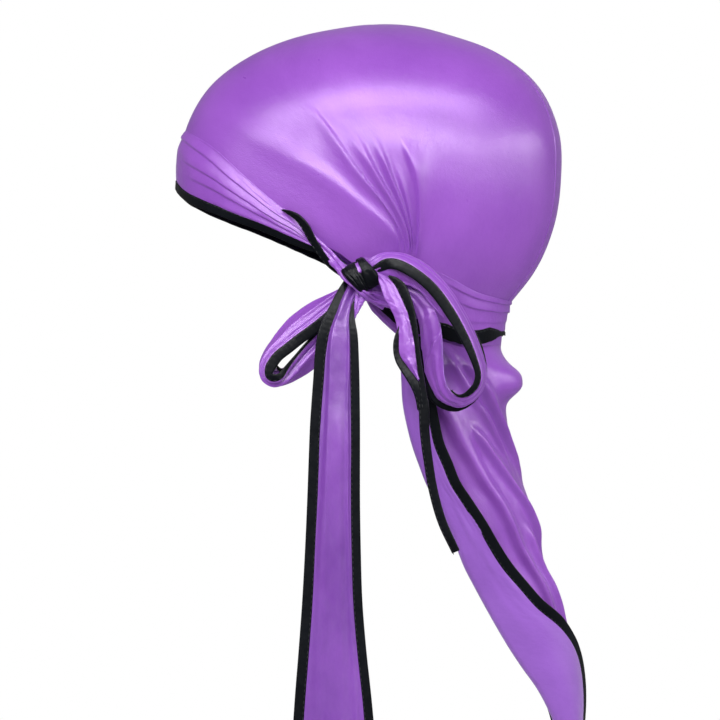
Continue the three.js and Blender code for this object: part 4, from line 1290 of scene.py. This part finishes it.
def satin_strip(name, path, folds, seed, lift=over_brow_band, rows=150, columns=36):
    """A strip of satin that lies on the head where it isn't free, and at its own height where it is."""
    at = np.linspace(0, 1, rows)
    free = smooth(0, 1, read_even(path, "free", at))
    edges = []
    for side in ("high", "low"):
        back, up = read_even(path, f"{side}_back", at), read_even(path, f"{side}_up", at)
        loose = from_knot(read_even(path, "out", at), back, up)
        edges.append(mix(on_side(back, up, lift), loose, free[:, None]))
    share = np.linspace(0, 1, columns)[None, :, None]
    face = mix(edges[0][:, None], edges[1][:, None], share)
    bulge = 0.9 * np.sin(np.pi * share) ** 0.7
    face = face + bulge * leftwards
    face = creased(face, leftwards, folds, seed)
    length = np.linalg.norm(np.diff(face[:, columns // 2], axis=0), axis=-1).sum()
    place = np.stack([share[..., 0] * 8 + 0 * face[..., 0], at[:, None] * length + 0 * face[..., 0]], -1)
    return sheet_mesh(name, face, place, leftwards, ribbon_thick)


knot_strip = satin_strip(
    "knot_strip_satin", knot_strip_path, [(0.45, 0.1, 0.12, -0.7), (0.8, 0.08, 0.1, 0.4)], 57
)
knot_tuck = satin_strip(
    "knot_tuck_satin",
    knot_tuck_path,
    [(0.3, 0.12, 0.08, 0.9), (0.62, 0.1, 0.1, -0.7), (0.85, 0.1, 0.1, 0.6)],
    58,
)
tie_root = satin_strip("tie_root_satin", tie_root_path, [(0.5, 0.15, 0.15, -0.5)], 59)

roll_turn, roll_across = np.meshgrid(np.linspace(84, 126, 120), np.linspace(0, 1, 26), indexing="ij")
roll_low = read(nape_band_edges, "turn", "low", roll_turn)
roll_width = 4.4 * smooth(84, 90, roll_turn) * (1 - smooth(108, 126, roll_turn)) + 0.3
roll_polar = roll_low + span(mix(-2.4, roll_width, roll_across), roll_turn, roll_low)
roll_lift = over_crown + 1.5 * np.sqrt(np.clip(1 - (2 * roll_across - 1) ** 2, 0, 1)) - 0.6
roll_face = on_head(roll_turn, roll_polar, roll_lift)
nape_roll = sheet_mesh(
    "nape_roll_satin",
    creased(roll_face, roll_face - head_middle, [(0.6, 0.12, 0.08, 0.4)], 60, 0.1),
    np.stack([roll_turn * 1.3, roll_across * 7], -1),
    roll_face - head_middle,
    ribbon_thick,
)


# Knot: two wraps of binding with a sliver of satin between them

knot_lean = 0.2


def knot_wrap(name, first, last, radius, material, grooves, seed):
    """A wrap about the knot's axis, between two distances along it, each given all round the wrap."""
    turns, across = np.meshgrid(np.linspace(0, 360, 145)[:-1], np.linspace(0, 1, 48), indexing="xy")
    edge = np.abs(2 * across - 1)
    radius = radius(turns) if callable(radius) else radius
    rounded = np.power(np.clip(1 - edge**5, 0, 1), 0.35)
    grooved = sum(depth * bump(across, at, width) for at, width, depth in grooves)
    ends = np.minimum(1, np.minimum(turns, 360 - turns) / 30)
    crumple = 0.2 * unevenness(turns / 24, across * 3, seed)
    crumple = crumple + 0.1 * unevenness(turns / 9, across * 7, seed + 1)
    fibres = 0.05 * unevenness(turns / 50, across * 26, seed + 2) * ends
    r = radius * (0.5 + 0.5 * rounded) - grooved + (crumple * ends + fibres) * rounded
    r = np.where(edge > 0.999, 0, r)
    out = r * np.sin(np.radians(turns)) * knot_flatness
    lengthwise = r * np.cos(np.radians(turns))
    along = mix(first(turns), last(turns), across) + knot_lean * lengthwise
    sin, cos = math.sin(math.radians(knot_tilt)), math.cos(math.radians(knot_tilt))
    face = from_knot(out, lengthwise * sin + along * cos, along * sin - lengthwise * cos)
    points = face.reshape(-1, 3)
    rows, columns = face.shape[:2]
    index = np.arange(rows * columns).reshape(rows, columns)
    index[0], index[-1] = index[0, 0], index[-1, 0]
    points[index[0, 0]] = face[0].mean(0)
    points[index[-1, 0]] = face[-1].mean(0)
    index = np.concatenate([index, index[:, :1]], 1)
    a, b, c, d = index[:-1, :-1], index[:-1, 1:], index[1:, 1:], index[1:, :-1]
    faces = np.stack([a.ravel(), b.ravel(), c.ravel(), d.ravel()], 1)
    place = np.stack([along, np.radians(turns) * radius], -1).reshape(-1, 2)
    return add_mesh(name, points, faces, [material], np.zeros(len(faces)), place)


def slit(turns):
    """How far the two wraps open to show the satin, round the knot."""
    return smooth(96, 108, turns) * (1 - smooth(152, 166, turns))


def knot_seam(turns):
    """Where the two wraps meet along the knot's axis, round the knot."""
    return -2.6 * np.cos(np.radians(turns))


knot_front = knot_wrap(
    "knot_front_wrap_tape",
    lambda turns: -7.2 + 0 * turns,
    lambda turns: knot_seam(turns) + mix(0.5, -0.05, slit(turns)),
    knot_radius * 0.99,
    binding_cloth,
    [(0.3, 0.05, 0.3), (0.72, 0.05, 0.25)],
    51,
)
knot_core = knot_wrap(
    "knot_core_satin",
    lambda turns: knot_seam(turns) - 1.8,
    lambda turns: knot_seam(turns) + 1.8,
    lambda turns: knot_radius * mix(0.78, 0.95, slit(turns)),
    satin,
    [(0.5, 0.08, 0.2)],
    53,
)
knot_back = knot_wrap(
    "knot_back_wrap_tape",
    lambda turns: knot_seam(turns) + mix(-0.5, 0.1, slit(turns)),
    lambda turns: 6.9 + 0 * turns,
    knot_radius * 1.02,
    binding_cloth,
    [(0.86, 0.04, 0.3)],
    55,
)


# Bow loops: a ribbon between two edges, with its near edge bound

loop_turn_share = 0.24


def loop_edges(path, length, at):
    def edge(side):
        out, back, up = (length * read_even(path, f"{side}_{axis}", at) for axis in "xyz")
        return from_knot(out, back, up)

    return edge("near"), edge("far")


def loop_binding_line(path, length, at, width):
    near, far = loop_edges(path, length, at)
    across, facing = tape_ways(near)
    across = across * (-1 if (across * (far - near)).sum() > 0 else 1)
    centre = near + across * (width / 2 + cloth_wall * 0.5)[:, None]
    return {"at": centre, "across": across, "facing": facing, "breadth": width / binding_width}


def loop_cloth(name, path, length, rows, folds, seed, bound_from, bound_to, width_at, rumple=0.2):
    """A loop's ribbon, which starts under its binding, turns over the near edge and runs to the far one."""
    at = np.linspace(0, 1, rows)
    near, far = loop_edges(path, length, at)
    line = loop_binding_line(path, length, at, width_at(at))
    tucked = smooth(bound_from - 0.04, bound_from, at) * (1 - smooth(bound_to, bound_to + 0.04, at))
    under = mix(near, line["at"] - line["facing"] * 0.35, tucked[:, None])
    share = np.linspace(0, 1, 40)
    first = np.clip(share / loop_turn_share, 0, 1)[None, :, None]
    second = np.clip((share - loop_turn_share) / (1 - loop_turn_share), 0, 1)[None, :, None]
    face = mix(mix(under[:, None], near[:, None], first), far[:, None], second)
    face = soften(face, 6)
    face = creased(face, leftwards, folds, seed, rumple, 26)
    run = at[:, None] * length * 2.4
    place = np.stack([share[None] * 12 + 0 * run, run + 0 * share[None]], -1)
    return sheet_mesh(name, face, place, leftwards, ribbon_thick)


def front_width(at):
    full = mix(3, 5.4, smooth(0, 0.12, at))
    return mix(mix(full, 3.8, smooth(0.38, 0.5, at)), 1.4, smooth(0.56, 0.84, at))


def rear_width(at):
    width = binding_width * mix(0.55, 0.98, smooth(0, 0.09, at)) * mix(1, 0.58, smooth(0.26, 0.45, at))
    return width * mix(1, 0.3, smooth(0.52, 0.63, at))


front_loop = loop_cloth(
    "front_loop_ribbon",
    front_loop_path,
    front_loop_length,
    260,
    [(0.4, 0.06, 0.04, -1.3), (0.56, 0.07, 0.2, 1.3)],
    61,
    0.03,
    0.95,
    front_width,
    0.12,
)
front_at = np.linspace(0.02, 0.96, 260)
front_loop_binding = bind(
    "front_loop_binding_tape",
    loop_binding_line(front_loop_path, front_loop_length, front_at, front_width(front_at)),
)
rear_loop = loop_cloth(
    "rear_loop_ribbon",
    rear_loop_path,
    rear_loop_length,
    380,
    [
        (0.5, 0.1, 0.16, 0.9),
        (0.8, 0.08, 0.12, 0.9),
        (0.69, 0.16, 0.1, 1.0, -11.8, 0.735, 0.82),
        (0.79, 0.14, 0.1, 0.9, -6.2, 0.79, 0.87),
    ],
    71,
    0.0,
    0.63,
    rear_width,
    0.3,
)
rear_at = np.linspace(0.0, 0.64, 280)
rear_loop_binding = bind(
    "rear_loop_binding_tape",
    loop_binding_line(rear_loop_path, rear_loop_length, rear_at, rear_width(rear_at)),
)
rear_loop_inner = satin_strip(
    "rear_loop_inner_satin", rear_loop_inner_path, [(0.4, 0.12, 0.14, 0.5), (0.85, 0.1, 0.1, -0.4)], 74
)


# Tapes hung by their own centre lines


def hung_tape(name, path, thick=binding_thick, twist=None):
    """A tape along a line of places below the knot, with its own width at each."""
    at = np.linspace(0, 1, 200)
    back, down, width, out = read_each(path, at)
    line = from_knot(out, back, -down)
    across, facing = tape_ways(line)
    lean = np.radians(np.zeros(len(at)) if twist is None else twist(at))[:, None]
    stations = {
        "at": line,
        "across": across * np.cos(lean) + facing * np.sin(lean),
        "facing": facing * np.cos(lean) - across * np.sin(lean),
        "breadth": width / width.max(),
    }
    return bind(name, stations, width.max(), thick)


rear_loop_far_binding = hung_tape("rear_loop_far_tape", rear_loop_far_edge)
front_loop_inner = satin_strip("front_loop_inner_satin", front_loop_inner_path, [(0.5, 0.1, 0.1, -0.4)], 75)
front_loop_inner_binding = hung_tape("front_loop_inner_tape", front_loop_inner_edge, thick=1.4)


# Long tie end: a hanging ribbon with soft lengthwise folds, bound on both edges and across its end


def tie_width(at, edge):
    """Width of the long tie's binding down its front (0) or back (1) edge."""
    front = mix(3, 5.8, smooth(0.02, 0.25, at)) * mix(1, 0.92, smooth(0.3, 0.5, at))
    back = mix(0.4, 4.7, smooth(0.06, 0.34, at))
    return mix(front, back, edge)


def long_tie_point(at, across, lift, inset=1.0):
    """A place of the tie end between the middles of its two bindings."""
    front, front_down, back, back_down, out = read_each(long_tie_edges, at)
    ends = []
    for edge, (y, z) in enumerate(((front, front_down), (back, back_down))):
        other = (back, back_down) if edge == 0 else (front, front_down)
        wide = np.hypot(back - front, back_down - front_down)
        inward = inset * tie_width(at, edge) / 2 / wide
        ends.append((mix(y, other[0], inward), mix(z, other[1], inward)))
    return from_knot(out + lift, mix(ends[0][0], ends[1][0], across), -mix(ends[0][1], ends[1][1], across))


tie_at, tie_across = np.meshgrid(np.linspace(0, 1, 320), np.linspace(0, 1, 64), indexing="ij")
tie_lift = cloth_wall / 2 + 0.1
for fold_at, before, behind, height, enter, leave in zip(*tie_folds.values()):
    wander = 0.06 * unevenness(tie_at * 6, fold_at * 9, 80)
    shown = smooth(enter - 0.05, enter + 0.1, tie_at) * (1 - smooth(leave - 0.15, leave + 0.05, tie_at))
    tie_lift = tie_lift + height * fold(tie_across + wander, fold_at, before, behind) * shown
tie_lift = tie_lift + 0.6 * unevenness(tie_at * 12, tie_across * 2.5, 81)
tie_lift = tie_lift + 0.12 * unevenness(tie_at * 40, tie_across * 6, 82)
beside_tapes = smooth(0.06, 0.24, tie_across) * (1 - smooth(0.82, 0.92, tie_across))
tie_lift = mix(cloth_wall / 2 + 0.25, tie_lift, beside_tapes)
long_tie = sheet_mesh(
    "long_tie_ribbon",
    long_tie_point(tie_at, tie_across, tie_lift),
    np.stack([tie_across * long_tie_width, -tie_at * long_tie_length], -1),
    leftwards,
    ribbon_thick,
)
# The long tie's good side takes the darker copy of the satin, whose deeper colour is painted shade.
long_tie.data.materials[0] = painted_shade_satin


def long_tie_tape(name, edge):
    at = np.linspace(0, 1, 280)
    line = long_tie_point(at, np.full_like(at, edge), cloth_wall / 2)
    across, facing = tape_ways(line)
    across = across * (-1 if edge == 0 else 1)
    width = tie_width(at, edge)
    stations = {"at": line, "across": across, "facing": facing, "breadth": width / width.max()}
    return bind(name, stations, width.max())


long_tie_front = long_tie_tape("long_tie_front_tape", 0)
long_tie_back = long_tie_tape("long_tie_back_tape", 1)
end_across = np.linspace(0, 1, 60)
end_line = long_tie_point(np.ones(60), end_across, cloth_wall / 2, inset=0)
end_line[:, 2] -= binding_width / 2
long_tie_end = bind(
    "long_tie_end_tape",
    {"at": end_line, "across": point(0 * end_across, 0, -1), "facing": leftwards + 0 * end_line},
)


# Short tie end: a leaf of satin down to where it closes on itself, then its two bindings run on together

leaf_at = np.linspace(0, 1, 140)
leaf_across = np.linspace(0, 1, 34)
leaf_left, leaf_right, leaf_down, leaf_out = read_each(short_tie_leaf, leaf_at)
leaf_swell = 1.3 * np.sin(np.pi * leaf_across) ** 0.8
leaf_face = from_knot(
    leaf_out[:, None] + leaf_swell - 0.6,
    mix(leaf_left[:, None] - 0.8, leaf_right[:, None] + 0.8, leaf_across),
    -leaf_down[:, None] + 0 * leaf_across,
)
leaf_face = creased(leaf_face, leftwards, [(0.4, 0.14, 0.1, 0.5), (0.75, 0.08, 0.1, -0.4)], 91, 0.3, 16)
short_tie = sheet_mesh(
    "short_tie_ribbon",
    leaf_face,
    np.stack([leaf_across[None] * 9 + 0 * leaf_at[:, None], -leaf_at[:, None] * 55 + 0 * leaf_across], -1),
    leftwards,
    ribbon_thick,
)
short_tie_front, short_tie_back, short_tail = (
    hung_tape(name, path, twist=twist)
    for name, path, twist in (
        ("short_tie_front_tape", short_tie_left, lambda at: -25 * np.sin(np.pi * at)),
        ("short_tie_back_tape", short_tie_right, lambda at: 20 * np.sin(np.pi * at)),
        ("short_tie_tail_tape", short_tie_tail, lambda at: 12 * np.sin(7 * at)),
    )
)


# Cape: a sheet bent round the back of the neck, whose near edge turns back on itself

cape_top_near = 143.2
cape_near_turn = 104
cape_tuck = 0.045
cape_clear = 0.085
cape_squareness = 0.8
cape_far_stop = 0.05
cape_tape_end = 0.985
cape_cloth_round = 190
cape_cloth_turn = 14
cape_middle_back = 22
puff_level = 0.114
puff_run = 0.04
puff_flatness = 2.8
puff_place = 0.46
puff_width = 0.13
cape_origin = on_head(cape_near_turn, cape_top_near, 0)


def cape_plan(level, place, spread):
    """A place in plan. Place runs from the far edge (0) to the near fold (1), round the turn (2) and over
    the flap to its bound edge (3)."""
    fold_line = cape_reach * read(cape_sections, "level", "fold", level) + cape_turn_radius
    back = cape_reach * read(cape_sections, "level", "back", level)
    half = cape_half_width * read(cape_sections, "level", "half", level)
    depth = np.maximum(cape_turn_radius, back - fold_line)

    def round_back(angle, more):
        x = np.sign(np.cos(angle)) * np.abs(np.cos(angle)) ** cape_squareness
        return x * (half + more), fold_line + np.abs(np.sin(angle)) ** cape_squareness * (depth + more)

    outer = round_back(np.pi * mix(1 - cape_far_stop, 0, np.minimum(place, 1)), spread)
    angle = np.pi * (place - 1)
    radius = cape_turn_radius - spread
    bend = half + cape_turn_radius - radius * np.cos(angle), fold_line - radius * np.sin(angle)
    bound = np.minimum(0.96, read(cape_sections, "level", "bind", level))
    end = np.arcsin(bound ** (1 / cape_squareness))
    flap = round_back(end * np.maximum(0, place - 2), 2 * cape_turn_radius - spread)
    return [np.where(place <= 1, o, np.where(place <= 2, b, f)) for o, b, f in zip(outer, bend, flap)]


def cape_relief(level, place):
    around = 1 - np.minimum(place, 1)
    lifts = []
    for k, (top, low, start, stop, before, behind, height) in enumerate(zip(*cape_folds.values())):
        run = np.clip((level - start) / (stop - start), 0, 1)
        fade = smooth(start, start + 0.05, level) * (1 - smooth(mix(start, stop, 0.65), stop, level))
        wander = 0.008 * unevenness(level * 9, k, 101)
        lifts.append(height * fold(around + wander, mix(top, low, run), before, behind) * fade)
    puffed = np.exp(-(np.abs((level - puff_level) / puff_run) ** puff_flatness))
    puff = puff_height * puffed * bump(around, puff_place, puff_width)
    rumple = 0.5 * unevenness(level * 9, around * 12, 102) + 0.2 * unevenness(level * 22, around * 30, 103)
    rumple = rumple * smooth(0.06, 0.2, level)
    return np.where(place > 1, 0, cape_fold_height * np.max(lifts, 0) + puff + rumple)


def cape_top_polar(turn):
    hem = read(crown_hem, "turn", "polar", np.where(turn > 180, 360 - turn, turn)) + 0.45
    beside = np.abs(180 - turn) / (180 - cape_near_turn)
    return mix(hem, cape_top_near, smooth(0.45, 0.85, beside))


def cape_point(level, place, spread):
    """A place of the cape: close on the head under the nape strap, then falling free."""
    level, place = np.broadcast_arrays(np.asarray(level, float), np.asarray(place, float))
    x, y = cape_plan(level, place, spread + cape_relief(level, place))
    fallen = point(x, cape_origin[1] + y, cape_origin[2] - cape_length * level)
    turn = mix(360 - cape_near_turn, cape_near_turn, np.minimum(place, 1))
    top = cape_top_polar(turn)
    clear = np.maximum(top + 1, read(nape_band_edges, "turn", "low", turn) + 1.4)
    seated = on_head(turn, mix(top, clear, np.minimum(1, level / cape_tuck)), spread + cloth_wall / 2)
    free = np.where(place > 1, 1, smooth(cape_tuck, cape_clear, level))
    return mix(seated, fallen, free[..., None])


cape_levels = np.concatenate([np.linspace(0, 0.11, 26)[:-1], np.linspace(0.11, 1, 150)])
cape_places = np.concatenate(
    [
        np.linspace(0, 0.45, 80)[:-1],
        np.linspace(0.45, 1, 130)[:-1],
        np.linspace(1, 2, 14)[:-1],
        np.linspace(2, 3, 34),
    ]
)
cape_down, cape_round = np.meshgrid(cape_levels, cape_places, indexing="ij")
cape_face = cape_point(cape_down, cape_round, 0.3)
flap_rumple = 0.4 * unevenness(cape_down * 14, cape_round * 5, 111) * smooth(2, 2.4, cape_round)
cape_face = cape_face + point(flap_rumple, 0 * flap_rumple, 0 * flap_rumple)
past_fold = cape_cloth_round + (cape_round - 1) * cape_cloth_turn
cape_across = np.where(cape_round <= 1, cape_round * cape_cloth_round, past_fold)
cape_middle = point(0, cape_origin[1] + cape_middle_back, cape_face[..., 2])
cape = sheet_mesh(
    "cape_cloth",
    cape_face,
    np.stack([cape_across, -cape_down * cape_length], -1),
    np.where(cape_round[..., None] > 1.5, -1, 1) * (cape_face - cape_middle),
)


def cape_binding(name, place, inward, first):
    level = np.linspace(first, cape_tape_end, 300)
    edge = cape_point(level, np.full_like(level, place), 0)
    beside = cape_point(level, np.full_like(level, inward), 0)
    heading = heading_of(edge)
    away = edge - beside
    across = unit(away - heading * (away * heading).sum(-1, keepdims=True))
    facing = unit(np.cross(heading, across))
    outward = edge - point(0, cape_origin[1] + 20, edge[:, 2])
    facing = facing * np.sign((facing * outward).sum(-1).mean())
    return bind(name, {"at": edge + across * (binding_width / 2 - 0.9), "across": across, "facing": facing})


cape_near_binding = cape_binding("cape_binding_tape", 3, 2.8, 0.02)
cape_far_binding = cape_binding("cape_far_binding_tape", 0, 0.02, 0.06)


# Stitches of every binding, in one piece

stitches = grown(path_mesh("binding_stitches", stitch_lines), binding_stitches, {"Thread": binding_thread})


# What each piece stands for, whose solids are hidden, and the cloth that it was cut from, which is listed but
# not used

for piece, slot, *node in (
    (crown, "satin", "crown"),
    (brow_band, "satin", "brow_band"),
    (brow_binding, "binding", "brow_binding"),
    (nape_band, "satin", "nape_band"),
    (nape_binding, "binding", "nape_binding"),
    (temple_binding, "binding", "temple_binding"),
    (knot_front, "binding", "knot_front_wrap"),
    (knot_core, "satin", "knot_core"),
    (knot_back, "binding", "knot_back_wrap"),
    (front_loop, "satin", "front_loop"),
    (front_loop_binding, "binding", "front_loop_binding"),
    (rear_loop, "satin", "rear_loop"),
    (rear_loop_binding, "binding", "rear_loop_binding"),
    (long_tie, "satin", "long_tie"),
    (long_tie_front, "binding", "long_tie_front_binding"),
    (long_tie_back, "binding", "long_tie_back_binding"),
    (long_tie_end, "binding", "long_tie_end_binding"),
    (short_tie, "satin", "short_tie"),
    (short_tie_front, "binding", "short_tie_front_binding"),
    (short_tie_back, "binding", "short_tie_back_binding"),
    (short_tail, "binding", "short_tie_tail"),
    (cape, "satin", "cape"),
    (cape_near_binding, "binding", "cape_binding"),
    (cape_far_binding, "binding", "cape_far_binding"),
    (stitches, "binding"),
    (front_loop_inner_binding, "binding"),
    (rear_loop_far_binding, "binding"),
    (knot_strip, "satin"),
    (knot_tuck, "satin"),
    (tie_root, "satin"),
    (nape_roll, "satin"),
    (front_loop_inner, "satin"),
    (rear_loop_inner, "satin"),
):
    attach(piece, "root")
    if node:
        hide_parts(*node)


# Floor, light and camera


floor_radius = 0.9
floor_height = -0.62
floor_sides = 64
world_light = 0.14
camera_place = (2.08, -0.0062, -0.173)
camera_lens = 200
camera_sensor = 36

# Each lamp's place, aim, size and watts, and what it leaves out: the cloth's own colour or its gloss
lamps = {
    "high_strip": ((0.86, 0.05, 1.1), (0, 0, -0.08), (3.0, 0.15), 34, "diffuse"),
    "low_strip": ((1.5, 0.05, 0.52), (0, 0, -0.08), (3.0, 0.11), 48, "diffuse"),
    "soft_key": ((1.7, -0.45, 1.15), (0, 0, -0.12), (1.6, 1.4), 60, "glossy"),
    "soft_back": ((1.1, 1.5, 0.3), (0, 0, -0.15), (1.2, 1.2), 8, "glossy"),
    "front_key": ((0.8, -1.3, 0.6), (0, 0, -0.1), (0.8, 0.8), 8, None),
    "back_strip": ((0.4, 1.6, 0.24), (0, 0, -0.1), (1.8, 0.16), 14, None),
    "far_side": ((-1.5, 0.3, 0.5), (0, 0, -0.15), (1.2, 1.2), 18, "glossy"),
}
for name, (place, aim, size, power, left_out) in lamps.items():
    light = bpy.data.lights.new(name, "AREA")
    light.shape = "RECTANGLE"
    light.size, light.size_y = size
    light.energy = power
    lamp = in_scene(name, light)
    lamp.location = place
    lamp.rotation_euler = (Vector(aim) - Vector(place)).to_track_quat("-Z", "Y").to_euler()
    lamp.visible_camera = False
    lamp.visible_diffuse = left_out != "diffuse"
    lamp.visible_glossy = left_out != "glossy"

world = bpy.data.worlds.new("pale studio")
world.use_nodes = True
world.node_tree.nodes.clear()
seen = add(world.node_tree, "ShaderNodeLightPath").outputs["Is Camera Ray"]
glow = ranged(world.node_tree, seen, 0.0, 1.0, world_light, 1.0)
pale = add(world.node_tree, "ShaderNodeBackground", {"Color": (1, 1, 1, 1), "Strength": glow})
add(world.node_tree, "ShaderNodeOutputWorld", {"Surface": pale.outputs[0]})
bpy.context.scene.world = world
bpy.context.scene.view_settings.view_transform = "Standard"

floor_mesh = bpy.data.meshes.new("studio_floor")
corners = np.linspace(0, math.tau, floor_sides + 1)[:-1]
ring = [(floor_radius * math.cos(a), floor_radius * math.sin(a), floor_height) for a in corners]
floor_mesh.from_pydata(ring, [], [list(range(floor_sides))])
floor = in_scene("studio_floor", floor_mesh)
floor_paint = bpy.data.materials.new("pale_floor")
floor_paint.use_nodes = True
floor_paint.node_tree.nodes["Principled BSDF"].inputs["Base Color"].default_value = (0.85, 0.85, 0.85, 1)
floor_mesh.materials.append(floor_paint)
floor.visible_glossy = False

lens = bpy.data.cameras.new("photo_camera")
lens.lens = camera_lens
lens.sensor_width = camera_sensor
camera = in_scene("photo_camera", lens)
camera.location = camera_place
camera.rotation_euler = (math.radians(90), 0, math.radians(90))
bpy.context.scene.camera = camera
